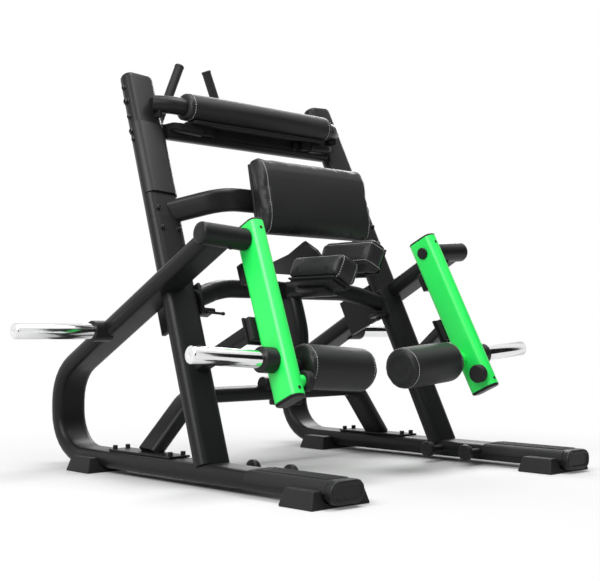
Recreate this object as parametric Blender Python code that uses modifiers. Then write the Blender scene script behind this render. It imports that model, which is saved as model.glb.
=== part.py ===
"""Plate-loaded kneeling leg curl: two independent swing arms, knee rests, hip pad, elbow roll and handles.

Metres, +Z up, the floor is z = 0, the person faces +Y. Everything paired is built on the right (+X) and
its left twin is the same mesh behind a mirroring matrix.
"""

import math

import bmesh
import bpy
from mathutils import Matrix, Vector

# ---- driving dimensions ------------------------------------------------------------------------------
TUBE_WIDE, TUBE_THIN, TUBE_CORNER = 0.115, 0.055, 0.024  # flat-oval frame tube
FIT = 0.0003  # gap between neighbouring pieces
RUNNING_STEPS = 36  # facets round a shaft and round its bore

RAIL_X, RAIL_Z = 0.525, 0.042
RAIL_FRONT_Y, RAIL_REAR_Y = -0.655, 0.648
REAR_TOP_Z = 0.3035  # where the rear upright would meet the slope
REAR_BEND_LOW, REAR_BEND_HIGH = 0.140, 0.150

POST_BASE = (0.5216, -0.1240, 0.062)
POST_TOP = (0.4192, 0.4120, 1.2957)
POST_JOINT_Z = 0.800  # the upper upright starts here

PIVOT = (0.4007, -0.1616, 0.7187)  # swing axis, in the arm's middle plane
ARM_IN = (-0.99624, -0.04925, -0.07124)  # along the swing axis, inward
ARM_BACK = (-0.01494, 0.90800, -0.41870)  # across the arm, rearward
ARM_DOWN = (0.08531, -0.41606, -0.90532)  # along the arm, downward

HOUSING_R, HOUSING_IN, HOUSING_OUT = 0.034, -0.030, -0.198
PIVOT_BORE_R, PIVOT_SHAFT_R = 0.01500, 0.01492

ARM_WIDE, ARM_THIN, ARM_CORNER = 0.100, 0.052, 0.021
ARM_TOP, ARM_LOW, ARM_CAP = -0.0555, 0.5155, 0.0085

HORN_L, HORN_E, HORN_R = 0.387, 0.005, 0.025
HORN_OUT, COLLAR_OUT, COLLAR_R = -0.312, -0.075, 0.0375

ROLLER_L, ROLLER_E, ROLLER_R = 0.388, 0.027, 0.068
ROLLER_NEAR, ROLLER_FAR = 0.090, 0.352
ROLLER_BORE_R, ROLLER_SHAFT_R = 0.01250, 0.01243
BOSS_R, BOSS_OUT = 0.025, 0.055

BUMPER_L, BUMPER_E, BUMPER_R = 0.462, -0.030, 0.030
STOP_L = 0.260

STORE_Y, STORE_TIP_X, STORE_R = 0.370, 0.890, 0.025

FOOT_WIDE, FOOT_LONG, FOOT_TALL = 0.216, 0.129, 0.048
FOOT_FRONT_Y, FOOT_REAR_Y = -0.5865, 0.4330

HIP_WIDE, HIP_TALL, HIP_DEEP = 0.488, 0.262, 0.070
HIP_BACK = (0.0, 0.0304, 0.8764)  # middle of the pad's back face
HIP_LEAN = math.radians(11.1)

ELBOW_Y, ELBOW_Z, ELBOW_R, ELBOW_HALF = 0.273, 1.191, 0.050, 0.330
CROSS_Y, CROSS_Z = 0.318, 1.109

SPAR_Z, SPAR_FRONT_Y, SPAR_WIDE, SPAR_TALL = 0.5945, -0.138, 0.074, 0.060
KNEE_SWIVEL = math.radians(-20.9)  # how far the V of knee pads is turned on its spar
KNEE_TILT = math.radians(45.6)  # each pad's own slope in the V
KNEE_VALLEY, KNEE_GAP = 0.0665, 0.0083  # height of the V above the spar, half the gap at its foot
KNEE_MID_Y, KNEE_LONG, KNEE_WIDE, KNEE_THICK = -0.148, 0.214, 0.0965, 0.0700
KNEE_BOARD, KNEE_HUB = 0.020, 0.012

MIRROR = Matrix.Diagonal((-1, 1, 1, 1))


# ---- scene, collections and materials ----------------------------------------------------------------
def clear():
    for obj in list(bpy.data.objects):
        bpy.data.objects.remove(obj, do_unlink=True)
    for old in list(bpy.data.collections):
        bpy.data.collections.remove(old)


def collection(name):
    made = bpy.data.collections.new(name)
    bpy.context.scene.collection.children.link(made)
    return made


clear()
PARTS = collection("kneeling_leg_curl")
CUTTERS = collection("cutters")
CUTTERS.hide_render = True


def material(name, colour, roughness, metallic=0.0):
    made = bpy.data.materials.new(name)
    made.use_nodes = True
    shader = made.node_tree.nodes["Principled BSDF"]
    shader.inputs["Base Color"].default_value = (*colour, 1)
    shader.inputs["Roughness"].default_value = roughness
    shader.inputs["Metallic"].default_value = metallic
    made.diffuse_color = (*colour, 1)
    return made


FRAME_BLACK = material("frame_black", (0.030, 0.031, 0.033), 0.45)
ARM_GREEN = material("arm_green", (0.010, 0.720, 0.065), 0.30)
CHROME = material("chrome", (0.82, 0.82, 0.83), 0.12, 1.0)
LEATHER = material("leather_black", (0.022, 0.022, 0.024), 0.50)
RUBBER = material("rubber_black", (0.026, 0.026, 0.027), 0.70)
PLASTIC = material("plastic_black", (0.020, 0.020, 0.021), 0.40)
BOARD = material("board_black", (0.012, 0.012, 0.012), 0.60)


# ---- section outlines --------------------------------------------------------------------------------
def arc(centre, radius, start, end, steps):
    turns = [start + (end - start) * i / steps for i in range(steps + 1)]
    return [(centre[0] + radius * math.cos(t), centre[1] + radius * math.sin(t)) for t in turns]


def round_rect(wide, tall, corner, steps=3):
    """Closed outline, counter-clockwise, with its middle at the origin."""
    x, y = wide / 2 - corner, tall / 2 - corner
    quarter = math.pi / 2
    points = []
    for n, (sx, sy) in enumerate(((1, 1), (-1, 1), (-1, -1), (1, -1))):
        points += arc((sx * x, sy * y), corner, n * quarter, (n + 1) * quarter, steps)
    return points


def upper_shell(wide, tall, corner, thick, steps=3):
    """Outline of a cover that wraps the upper half of a rounded rectangle."""

    def over(w, h, r):
        x, y = w / 2 - r, h / 2 - r
        right = arc((x, y), r, 0, math.pi / 2, steps)
        left = arc((-x, y), r, math.pi / 2, math.pi, steps)
        return [(w / 2, -y), *right, *left, (-w / 2, -y)]

    outer = over(wide + 2 * thick, tall + 2 * thick, corner + thick)
    inner = over(wide, tall, corner)
    outer[0] = (outer[0][0], inner[0][1])
    outer[-1] = (outer[-1][0], inner[-1][1])
    return outer + inner[::-1]


# ---- solids ------------------------------------------------------------------------------------------
def finish_mesh(name, bm, colour, home=PARTS, matrix=None):
    bmesh.ops.remove_doubles(bm, verts=bm.verts, dist=1e-6)
    bmesh.ops.recalc_face_normals(bm, faces=bm.faces)
    mesh = bpy.data.meshes.new(name)
    bm.to_mesh(mesh)
    bm.free()
    return place(name, mesh, colour, home, matrix)


def place(name, mesh, colour, home=PARTS, matrix=None):
    obj = bpy.data.objects.new(name, mesh)
    home.objects.link(obj)
    if home is CUTTERS:
        obj.display_type = "WIRE"
        obj.hide_render = True
    if colour:
        mesh.materials.append(colour)
    if matrix is not None:
        obj.matrix_world = matrix
    return obj


def loft(name, rings, colour, home=PARTS, matrix=None):
    """Skin over rings of equally many points, closed by a face at each end."""
    bm = bmesh.new()
    rows = [[bm.verts.new(p) for p in ring] for ring in rings]
    count = len(rows[0])
    for low, high in zip(rows, rows[1:]):
        for i in range(count):
            bm.faces.new((low[i], low[(i + 1) % count], high[(i + 1) % count], high[i]))
    bm.faces.new(rows[0][::-1])
    bm.faces.new(rows[-1])
    return finish_mesh(name, bm, colour, home, matrix)


def fillet(corners, radii, step=math.radians(12)):
    """Path through the corners with each inner one replaced by an arc of its radius."""
    points = [Vector(corners[0])]
    for before, corner, after, radius in zip(corners, corners[1:], corners[2:], radii):
        corner = Vector(corner)
        to_before = (Vector(before) - corner).normalized()
        to_after = (Vector(after) - corner).normalized()
        half = to_before.angle(to_after) / 2
        centre = corner + (to_before + to_after).normalized() * radius / math.sin(half)
        start = corner + to_before * radius / math.tan(half) - centre
        axis = to_after.cross(to_before)
        sweep_angle = math.pi - 2 * half
        steps = max(2, math.ceil(sweep_angle / step))
        turn = 1 if (Matrix.Rotation(0.01, 3, axis) @ start - start).dot(to_after) > 0 else -1
        for i in range(steps + 1):
            points.append(centre + Matrix.Rotation(turn * sweep_angle * i / steps, 3, axis) @ start)
    points.append(Vector(corners[-1]))
    return points


def sweep(name, section, path, wide, colour, home=PARTS, scales=None):
    """The section carried along the path, its first axis kept as near as it can be to the wide direction."""
    path = [Vector(p) for p in path]
    rings = []
    for i, point in enumerate(path):
        ahead = path[min(i + 1, len(path) - 1)] - point
        behind = point - path[max(i - 1, 0)]
        along = (ahead.normalized() + behind.normalized()).normalized()
        across = Vector(wide)
        across = (across - across.dot(along) * along).normalized()
        third = along.cross(across)
        k = scales[i] if scales else 1
        rings.append([point + across * a * k + third * b * k for a, b in section])
    return loft(name, rings, colour, home)


def turned(name, profile, colour, matrix, steps=24, home=PARTS):
    """The (radius, height) profile turned about the frame's z axis with a Screw modifier."""
    mesh = bpy.data.meshes.new(name)
    closed = profile[0][0] > 1e-9
    area = sum(a[0] * b[1] - b[0] * a[1] for a, b in zip(profile, profile[1:] + profile[:1]))
    points = profile if area < 0 else profile[::-1]
    edges = [(i, i + 1) for i in range(len(points) - 1)]
    if closed:
        edges.append((len(points) - 1, 0))
    mesh.from_pydata([(r, 0, z) for r, z in points], edges, [])
    obj = place(name, mesh, colour, home, matrix)
    screw = obj.modifiers.new("turn", "SCREW")
    screw.axis = "Z"
    screw.angle = math.tau
    screw.steps = screw.render_steps = steps
    screw.use_merge_vertices = True
    screw.merge_threshold = 0.00001
    screw.use_normal_flip = False
    return obj


def solid_turned(name, profile, colour, matrix, steps=24, home=CUTTERS):
    """A turned piece as plain mesh, for use as a cutter or an addition."""
    obj = turned(name, profile, None, matrix, steps, home)
    bpy.context.view_layer.update()
    mesh = bpy.data.meshes.new_from_object(obj.evaluated_get(bpy.context.evaluated_depsgraph_get()))
    bpy.data.objects.remove(obj)
    return place(name, mesh, colour, home, matrix)


def cylinder(name, radius, low, high, matrix, steps=24, home=CUTTERS):
    profile = [(0, low), (radius, low), (radius, high), (0, high)]
    return solid_turned(name, profile, None, matrix, steps, home)


def block(name, size, colour, matrix, bevel=0.003, home=PARTS, taper=(1, 1), segments=1):
    """Box with its middle at the frame's origin, narrowed at the top by the taper, with rounded edges."""
    bm = bmesh.new()
    bmesh.ops.create_cube(bm, size=1)
    for vert in bm.verts:
        k = (taper if vert.co.z > 0 else (1, 1))
        vert.co = Vector((vert.co.x * size[0] * k[0], vert.co.y * size[1] * k[1], vert.co.z * size[2]))
    obj = finish_mesh(name, bm, colour, home, matrix)
    if bevel:
        rounding = obj.modifiers.new("round", "BEVEL")
        rounding.width = bevel
        rounding.segments = segments
        rounding.limit_method = "ANGLE"
    return obj


def boolean(obj, other, operation="DIFFERENCE"):
    made = obj.modifiers.new(f"{operation.lower()}_{other.name}"[:60], "BOOLEAN")
    made.object = other
    made.operation = operation
    made.solver = "EXACT"
    return obj


def add(obj, other):
    return boolean(obj, other, "UNION")


TWINS = {}


def twin(obj, name=None):
    """The left copy of a right piece, and of every cutter that its Booleans use."""
    if obj.name in TWINS:
        return TWINS[obj.name]
    other = obj.copy()
    other.name = name or obj.name.replace("_right", "_left")
    other.matrix_world = MIRROR @ obj.matrix_world
    for home in obj.users_collection:
        home.objects.link(other)
    for modifier in other.modifiers:
        if modifier.type == "BOOLEAN":
            modifier.object = twin(modifier.object, modifier.object.name + "_left")
    TWINS[obj.name] = other
    return other


def frame(origin, x, y, z):
    return Matrix.Translation(Vector(origin)) @ Matrix((x, y, z)).transposed().to_4x4()


def shift(matrix, x=0.0, y=0.0, z=0.0):
    return matrix @ Matrix.Translation((x, y, z))


# ---- shared frames -----------------------------------------------------------------------------------
IN, BACK, DOWN = Vector(ARM_IN), Vector(ARM_BACK), Vector(ARM_DOWN)
ARM = frame(PIVOT, IN, BACK, DOWN)  # x inward, y rearward, z down the arm
AXLE = frame(PIVOT, BACK, DOWN, IN)  # z along the swing axis, inward
BASE, TOP = Vector(POST_BASE), Vector(POST_TOP)
POST_UP = (TOP - BASE).normalized()
POST_ACROSS = (Vector((1, 0, 0)) - POST_UP.x * POST_UP).normalized()
POST_BACK = POST_UP.cross(POST_ACROSS)
POST = frame(BASE, POST_ACROSS, POST_BACK, POST_UP)  # x outward, y rearward, z up the post


def on_post(z):
    """Distance up the post at which its middle line is at this height."""
    return (z - BASE.z) / POST_UP.z


def axle_at(down, back):
    return shift(AXLE, back, down, 0)


SECTION = round_rect(TUBE_WIDE, TUBE_THIN, TUBE_CORNER)
SECTION_CLEAR = round_rect(TUBE_WIDE + 2 * FIT, TUBE_THIN + 2 * FIT, TUBE_CORNER + FIT)
HOUSING_AT = Vector(PIVOT) - IN * 0.1248  # the housing's axis in the tube's middle plane
SIDE_PATH = fillet(
    [
        (RAIL_X, RAIL_FRONT_Y, RAIL_Z),
        (RAIL_X, RAIL_REAR_Y, RAIL_Z),
        (RAIL_X, RAIL_REAR_Y, REAR_TOP_Z),
        (RAIL_X, HOUSING_AT.y, HOUSING_AT.z),
    ],
    [REAR_BEND_LOW, REAR_BEND_HIGH],
)
TUBE_CUT = sweep("tube_cut", SECTION_CLEAR, SIDE_PATH, (1, 0, 0), None, CUTTERS)
POST_CUT = sweep("post_cut", SECTION_CLEAR, [BASE - POST_UP * 0.02, TOP + POST_UP * 0.05], (1, 0, 0), None, CUTTERS)
HOUSING_CUT = cylinder("housing_cut", HOUSING_R + FIT, HOUSING_OUT - 0.02, HOUSING_IN + 0.02, AXLE)


# ---- side frames -------------------------------------------------------------------------------------
def side_frames():
    side = sweep("side_frame_right", SECTION, SIDE_PATH, (1, 0, 0), FRAME_BLACK)
    boolean(side, HOUSING_CUT)
    store_z = REAR_TOP_Z + (RAIL_REAR_Y - STORE_Y) * (HOUSING_AT.z - REAR_TOP_Z) / (RAIL_REAR_Y - HOUSING_AT.y)
    store = frame((0, STORE_Y, store_z), (0, 1, 0), (0, 0, 1), (1, 0, 0))
    ring = [(0, 0.550), (0.0335, 0.550), (0.0335, 0.614), (0.0320, 0.616)]
    ring += [(STORE_R + FIT, 0.616), (STORE_R + FIT, 0.604), (0, 0.604)]
    add(side, solid_turned("store_ring", ring, None, store))
    twin(side)
    horn = [(0, 0.6043), (STORE_R, 0.6043), (STORE_R, STORE_TIP_X - 0.003), (STORE_R - 0.003, STORE_TIP_X)]
    horn += [(0.006, STORE_TIP_X), (0.006, STORE_TIP_X - 0.010), (0, STORE_TIP_X - 0.010)]
    twin(turned("storage_horn_right", horn, CHROME, store))


def posts():
    joint = on_post(POST_JOINT_Z)
    low = BASE - POST_UP * 0.004
    post = sweep("post_right", SECTION, [low, BASE + POST_UP * joint], (1, 0, 0), FRAME_BLACK)
    boolean(post, TUBE_CUT)
    back = ARM @ Vector((-0.010, 0.0745, STOP_L))
    start = BASE + POST_UP * on_post(0.335) - POST_ACROSS * 0.006
    strut = sweep("stop_strut", round_rect(0.056, 0.034, 0.008, 2), [start, back], (1, 0, 0), None, CUTTERS)
    plate = block("stop_plate", (0.052, 0.006, 0.056), None, shift(ARM, -0.010, 0.0752, STOP_L), 0, CUTTERS)
    gusset = block("post_gusset", (0.014, 0.160, 0.130), None, shift(POST, -0.050, 0.0975, on_post(0.568)), 0, CUTTERS)
    add(add(add(post, strut), plate), gusset)
    clear = block("stop_clear", (0.120, 0.060, 0.160), None, shift(ARM, -0.010, 0.0722 - 0.030, STOP_L), 0, CUTTERS)
    boolean(post, clear)
    twin(post)
    rubber = block("stop_rubber_right", (0.050, 0.0215, 0.054), RUBBER, shift(ARM, -0.010, 0.0611, STOP_L), 0.004)
    twin(rubber)

    top = (TOP - BASE).length
    heights = [joint + FIT, top - 0.014, top - 0.006, top - 0.001, top]
    scales = [1, 1, 0.985, 0.93, 0.86]
    upright = sweep("upright_right", SECTION, [BASE + POST_UP * h for h in heights], (1, 0, 0), FRAME_BLACK, PARTS, scales)
    half = TUBE_THIN / 2
    strip = block("joint_strip", (0.052, 0.008, 0.150), None, shift(POST, 0, half + 0.0045, joint + 0.005), 0.002, CUTTERS)
    pad = block("joint_pad", (0.040, 0.010, 0.050), None, shift(POST, 0, half, joint + 0.045), 0, CUTTERS)
    add(add(upright, strip), pad)
    twin(upright)


def upper_placard():
    """Blank curved cover over the front of the left upper upright."""
    low, high = on_post(0.925), on_post(1.165)
    x, y, r = TUBE_WIDE / 2 - TUBE_CORNER, TUBE_THIN / 2 - TUBE_CORNER, TUBE_CORNER + FIT
    first, last = math.radians(32), math.radians(148)

    def over(radius, bulge):
        right = arc((x, y), radius, first, math.pi / 2, 3)
        left = arc((-x, y), radius, math.pi / 2, last, 3)
        front = [(x * (1 - i / 3), y + radius + bulge * (1 - (1 - i / 3) ** 2)) for i in range(1, 6)]
        return right + front + left

    shell = over(r + 0.003, 0.004) + over(r, 0)[::-1]
    rings = []
    for z in (low, low + 0.002, high - 0.002, high):
        k = 0 if z in (low, high) else 0.0008
        rings.append([Vector((a, -b - (k if b > 0.02 else 0), z)) for a, b in shell])
    twin(loft("placard_right", rings, PLASTIC, PARTS, POST), "placard")
    bpy.data.objects.remove(bpy.data.objects["placard_right"])


def rail_fittings():
    """Rubber feet, rail end caps, tread covers and band pegs."""
    tread = upper_shell(TUBE_WIDE + 2 * FIT, TUBE_THIN + 2 * FIT, TUBE_CORNER + FIT, 0.0035)
    tread_rear = -0.340
    rings = []
    for y, k in ((RAIL_FRONT_Y + 0.001, 1), (tread_rear - 0.010, 1), (tread_rear, 0.985)):
        rings.append([Vector((RAIL_X + a, y, RAIL_Z + b)) for a, b in tread])
    twin(loft("tread_right", rings, RUBBER))

    outer = TUBE_CORNER + 0.004
    wide, tall = TUBE_WIDE + 0.008, TUBE_THIN + 0.008
    tread_cut = sweep(
        "tread_cut",
        round_rect(wide + 2 * FIT, tall + 2 * FIT, outer + FIT),
        [(RAIL_X, RAIL_FRONT_Y - 0.060, RAIL_Z), (RAIL_X, tread_rear, RAIL_Z)],
        (1, 0, 0),
        None,
        CUTTERS,
    )
    for end, y, cutter in (("front", FOOT_FRONT_Y, tread_cut), ("rear", FOOT_REAR_Y, TUBE_CUT)):
        at = Matrix.Translation((0.520, y, FOOT_TALL / 2))
        foot = block(f"foot_{end}_right", (FOOT_WIDE, FOOT_LONG, FOOT_TALL), RUBBER, at, 0.004, PARTS, (0.86, 0.84), 2)
        boolean(foot, cutter)
        twin(foot)

    cap = []
    face = RAIL_FRONT_Y - 0.025
    for y, inset in (
        (RAIL_FRONT_Y - FIT, 0),
        (face + 0.006, 0),
        (face + 0.002, 0.0015),
        (face, 0.005),
        (face, 0.011),
        (face + 0.003, 0.013),
    ):
        outline = round_rect(wide - 2 * inset, tall - 2 * inset, outer - inset)
        cap.append([Vector((RAIL_X + a, y, RAIL_Z + b)) for a, b in outline])
    twin(loft("rail_cap_right", cap, PLASTIC))

    for end, y in (("front", -0.326), ("rear", -0.163)):
        peg = frame((RAIL_X - TUBE_WIDE / 2 - FIT, y, 0.0515), (0, 1, 0), (0, 0, -1), (-1, 0, 0))
        peg.translation.z = 0.048
        outline = [(0, 0), (0.009, 0), (0.009, 0.063), (0.019, 0.064)]
        outline += [(0.021, 0.070), (0.017, 0.076), (0, 0.078)]
        twin(turned(f"band_peg_{end}_right", outline, PLASTIC, peg, 16))


def rear_arch():
    """One bent cross tube whose legs stand on bolted plates on the rails."""
    foot = Vector((0.520, 0.187, RAIL_Z + TUBE_THIN / 2 + 0.004))
    knee = Vector((0.372, 0.172, 0.243))
    mirror = Vector((-1, 1, 1))
    path = fillet([foot, knee, knee * mirror, foot * mirror], [0.080, 0.080])
    arch = sweep("rear_arch", round_rect(0.090, 0.048, 0.020), path, (0, 1, 0), FRAME_BLACK)
    for sign in (1, -1):
        top = RAIL_Z + TUBE_THIN / 2 + FIT
        at = Matrix.Translation((sign * 0.522, 0.190, top + 0.003))
        add(arch, block(f"arch_plate_{sign}", (0.078, 0.320, 0.006), None, at, 0, CUTTERS))
        floor = Matrix.Translation((sign * 0.522, 0.190, top - 0.020))
        boolean(arch, block(f"arch_trim_{sign}", (0.200, 0.400, 0.040), None, floor, 0, CUTTERS))
        for dx in (-0.024, 0.024):
            for dy in (-0.145, 0.145):
                at = Matrix.Translation((sign * 0.522 + dx, 0.190 + dy, top + 0.004))
                add(arch, cylinder(f"arch_bolt_{sign}_{dx}_{dy}", 0.0085, 0, 0.014, at, 6))


def pivots():
    edge = HOUSING_R
    housing = [
        (0, HOUSING_OUT),
        (0.018, HOUSING_OUT),
        (0.027, HOUSING_OUT + 0.002),
        (0.0315, HOUSING_OUT + 0.005),
        (edge, HOUSING_OUT + 0.011),
        (edge, HOUSING_IN),
        (PIVOT_BORE_R, HOUSING_IN),
        (PIVOT_BORE_R, HOUSING_OUT + 0.018),
        (0, HOUSING_OUT + 0.018),
    ]
    twin(turned("pivot_housing_right", housing, FRAME_BLACK, AXLE, RUNNING_STEPS))
    half = ARM_THIN / 2
    shaft = PIVOT_SHAFT_R
    pin = [
        (0, HOUSING_OUT + 0.0185),
        (shaft, HOUSING_OUT + 0.0185),
        (shaft, HOUSING_IN + FIT),
        (0.022, HOUSING_IN + FIT),
        (0.022, -half - FIT),
        (shaft, -half - FIT),
        (shaft, half + FIT),
        (0.0195, half + FIT),
        (0.0185, half + 0.0045),
        (0, half + 0.0045),
    ]
    twin(turned("pivot_pin_right", pin, PLASTIC, AXLE, RUNNING_STEPS))


# ---- swing arms --------------------------------------------------------------------------------------
def swing_arms():
    section = round_rect(ARM_THIN, ARM_WIDE, ARM_CORNER, 4)
    rings = [[Vector((a, b, z)) for a, b in section] for z in (ARM_TOP + ARM_CAP, ARM_LOW - ARM_CAP)]
    arm = loft("swing_arm_right", rings, ARM_GREEN, PARTS, ARM)
    half = ARM_THIN / 2
    roller = axle_at(ROLLER_L, ROLLER_E)
    bumper = axle_at(BUMPER_L, BUMPER_E)
    add(arm, cylinder("arm_boss", BOSS_R, 0.010, BOSS_OUT, roller))
    add(arm, cylinder("arm_bumper_base", 0.0175, 0.010, half + 0.008, bumper))
    boolean(arm, cylinder("arm_pivot_bore", PIVOT_SHAFT_R + FIT, -0.1, 0.1, AXLE))
    boolean(arm, cylinder("arm_shaft_bore", ROLLER_SHAFT_R + FIT, half + 0.004, 0.2, roller))
    twin(arm)

    for end, z, way in (("top", ARM_TOP, 1), ("low", ARM_LOW, -1)):
        rings = []
        for depth, inset in ((ARM_CAP - FIT, 0), (0.003, 0.0005), (0, 0.005)):
            outline = round_rect(ARM_THIN - 2 * inset, ARM_WIDE - 2 * inset, ARM_CORNER - inset, 4)
            rings.append([Vector((a, b, z + way * depth)) for a, b in outline])
        twin(loft(f"arm_cap_{end}_right", rings, PLASTIC, PARTS, ARM))

    disc = [(0, half + 0.0083), (0.0275, half + 0.0083), (BUMPER_R, half + 0.011), (BUMPER_R, half + 0.030)]
    disc += [(0.0275, half + 0.034), (0, half + 0.034)]
    twin(turned("arm_bumper_right", disc, RUBBER, bumper, 24))

    horn = axle_at(HORN_L, HORN_E)
    ring = [
        (HORN_R + FIT, -half - FIT),
        (COLLAR_R - 0.001, -half - FIT),
        (COLLAR_R, -half - 0.0015),
        (COLLAR_R, COLLAR_OUT + 0.004),
        (COLLAR_R - 0.004, COLLAR_OUT),
        (HORN_R + FIT, COLLAR_OUT),
    ]
    twin(turned("horn_collar_right", ring, PLASTIC, horn))
    sleeve = [
        (0, -half - FIT),
        (HORN_R, -half - FIT),
        (HORN_R, HORN_OUT + 0.003),
        (HORN_R - 0.003, HORN_OUT),
        (0.0055, HORN_OUT),
        (0.0055, HORN_OUT + 0.010),
        (0, HORN_OUT + 0.010),
    ]
    twin(turned("weight_horn_right", sleeve, CHROME, horn))

    shaft = [
        (0, half + 0.0045),
        (ROLLER_SHAFT_R, half + 0.0045),
        (ROLLER_SHAFT_R, BOSS_OUT + FIT),
        (0.019, BOSS_OUT + FIT),
        (0.019, ROLLER_NEAR - 0.001),
        (ROLLER_SHAFT_R, ROLLER_NEAR - 0.001),
        (ROLLER_SHAFT_R, ROLLER_FAR - 0.0125),
        (0, ROLLER_FAR - 0.0125),
    ]
    twin(turned("roller_shaft_right", shaft, PLASTIC, roller, RUNNING_STEPS))

    r, far, near = ROLLER_R, ROLLER_FAR, ROLLER_NEAR
    middle = (near + far) / 2
    foam = [(0, far - 0.012), (ROLLER_BORE_R, far - 0.012)]
    side = [(r - 0.010, 0), (r - 0.004, 0.002), (r - 0.0015, 0.007), (r - 0.0028, 0.010), (r - 0.0010, 0.013), (r, 0.024)]
    foam += [(ROLLER_BORE_R, near), *((x, near + z) for x, z in side), (r + 0.0006, middle)]
    foam += [*((x, far - z) for x, z in side[::-1]), (0, far)]
    twin(turned("ankle_roller_right", foam, LEATHER, roller, RUNNING_STEPS))


# ---- cushions and what carries them ------------------------------------------------------------------
def cushion_rings(half, profile, crown=0.0):
    """Rings of a padded bolster along x: drawn in at each end and with a stitched channel near it."""
    stations = [(0, 0.80), (0.003, 0.90), (0.009, 0.975), (0.014, 0.992), (0.0165, 0.978), (0.020, 0.994), (0.045, 1.0)]
    xs = [(-half + d, k) for d, k in stations]
    xs += [(half * t, 1 + crown * (1 - t * t)) for t in (-0.5, -0.2, 0.2, 0.5)]
    xs += [(half - d, k) for d, k in stations[::-1]]
    return [[Vector((x, a, b)) for a, b in profile(k)] for x, k in xs]


def hip_pad():
    lean = Matrix.Rotation(-HIP_LEAN, 4, "X")
    at = Matrix.Translation(HIP_BACK) @ lean
    tall, deep = HIP_TALL, HIP_DEEP

    def profile(k):
        """Flat back, rolled top and bottom, gently crowned front; y runs from the back (0) to the front."""
        points = []
        corner = 0.026
        inner_z, inner_y = tall / 2 - corner, -deep + corner + 0.014
        points += [(0, -tall / 2 + 0.006), (-0.006, -tall / 2)]
        turns = (0, 0.31, 0.63, 0.94, 1.26)
        points += [(inner_y - corner * math.sin(t), -inner_z - corner * math.cos(t)) for t in turns]
        for i in range(1, 8):
            z = -inner_z + 2 * inner_z * i / 8
            points.append((inner_y - corner - 0.014 * (1 - (z / inner_z) ** 2) ** 0.5, z))
        turns = (0.31, 0.63, 0.94, 1.26, 1.57)
        points += [(inner_y - corner * math.cos(t), inner_z + corner * math.sin(t)) for t in turns]
        points += [(-0.006, tall / 2), (0, tall / 2 - 0.006)]
        middle = -deep * 0.45
        return [(middle + (y - middle) * k if y < -1e-9 else y, z * (0.5 + 0.5 * k)) for y, z in points]

    loft("hip_pad", cushion_rings(HIP_WIDE / 2, profile, 0.03), LEATHER, PARTS, at)
    board = block("hip_board", (HIP_WIDE - 0.030, 0.012, HIP_TALL - 0.030), BOARD, shift(at, 0, 0.0063, 0), 0.003)
    return at, board


def hip_hoop(at):
    """Flat-oval hoop behind the hip pad, from one upright round to the other."""
    mirror = Vector((-1, 1, 1))
    back = at @ Vector((0, 0.0126 + 0.021, 0))
    end = BASE + POST_UP * on_post(0.826) - POST_ACROSS * 0.012
    corner = Vector((0.325, back.y, back.z))
    path = fillet([end, corner, corner * mirror, end * mirror], [0.130, 0.130])
    hoop = sweep("hip_hoop", round_rect(0.075, 0.042, 0.017), path, (0, 0, 1), FRAME_BLACK)
    boolean(hoop, POST_CUT)
    boolean(hoop, twin(POST_CUT, "post_cut_left"))
    front = block("hip_hoop_trim", (0.6, 0.060, 0.4), None, shift(at, 0, 0.0126 - 0.030, 0), 0, CUTTERS)
    boolean(hoop, front)
    for sign in (1, -1):
        outer = Matrix.Translation((sign * 0.600, 0.200, 0.82))
        boolean(hoop, block(f"hip_hoop_end_{sign}", (0.200, 0.4, 0.4), None, outer, 0, CUTTERS))


def elbow_rest():
    flat = -ELBOW_R * 0.84

    def profile(k):
        points = []
        for i in range(24):
            t = math.tau * i / 24
            y, z = ELBOW_R * math.cos(t), ELBOW_R * math.sin(t)
            points.append((y * k, max(z * k, flat)))
        return points

    at = Matrix.Translation((0, ELBOW_Y, ELBOW_Z))
    loft("elbow_pad", cushion_rings(ELBOW_HALF, profile, 0.02), LEATHER, PARTS, at)
    low = ELBOW_Z + flat - FIT
    board = Matrix.Translation((0, ELBOW_Y, low - 0.006))
    block("elbow_board", (0.600, 0.062, 0.012), BOARD, board, 0.002)

    cross = sweep(
        "top_cross_frame",
        round_rect(0.050, 0.050, 0.018),
        [(-0.44, CROSS_Y, CROSS_Z), (0.44, CROSS_Y, CROSS_Z)],
        (0, 1, 0),
        FRAME_BLACK,
    )
    for sign in (1, -1):
        cheek = POST if sign > 0 else MIRROR @ POST
        post = POST_CUT if sign > 0 else twin(POST_CUT)
        web = Matrix.Translation((sign * 0.235, 0.290, 1.126))
        add(cross, block(f"elbow_web_{sign}", (0.050, 0.052, 0.0375), None, web, 0, CUTTERS))
        arm = fillet([(sign * 0.430, 0.345, 1.160), (sign * 0.345, 0.290, 1.127), (sign * 0.250, 0.283, 1.122)], [0.04])
        add(cross, sweep(f"elbow_arm_{sign}", round_rect(0.046, 0.040, 0.015, 3), arm, (0, 1, 0), None, CUTTERS))
        boss = frame((sign * 0.190, CROSS_Y, CROSS_Z + 0.010), (1, 0, 0), (0, 0, 1), (0, -1, 0))
        add(cross, cylinder(f"cross_boss_{sign}", 0.014, 0, 0.040, boss, 20))
        boolean(cross, post)
        clear = shift(cheek, 0.002, -0.0420, on_post(1.10))
        boolean(cross, block(f"cross_clear_{sign}", (0.140, 0.060, 0.500), None, clear, 0, CUTTERS))
        outer = Matrix.Translation((sign * 0.560, CROSS_Y, CROSS_Z))
        boolean(cross, block(f"cross_end_{sign}", (0.260, 0.4, 0.4), None, outer, 0, CUTTERS))
    under = Matrix.Translation((0, 0.29, low - 0.0123 + 0.050))
    boolean(cross, block("elbow_trim", (0.8, 0.2, 0.100), None, under, 0, CUTTERS))


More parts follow.
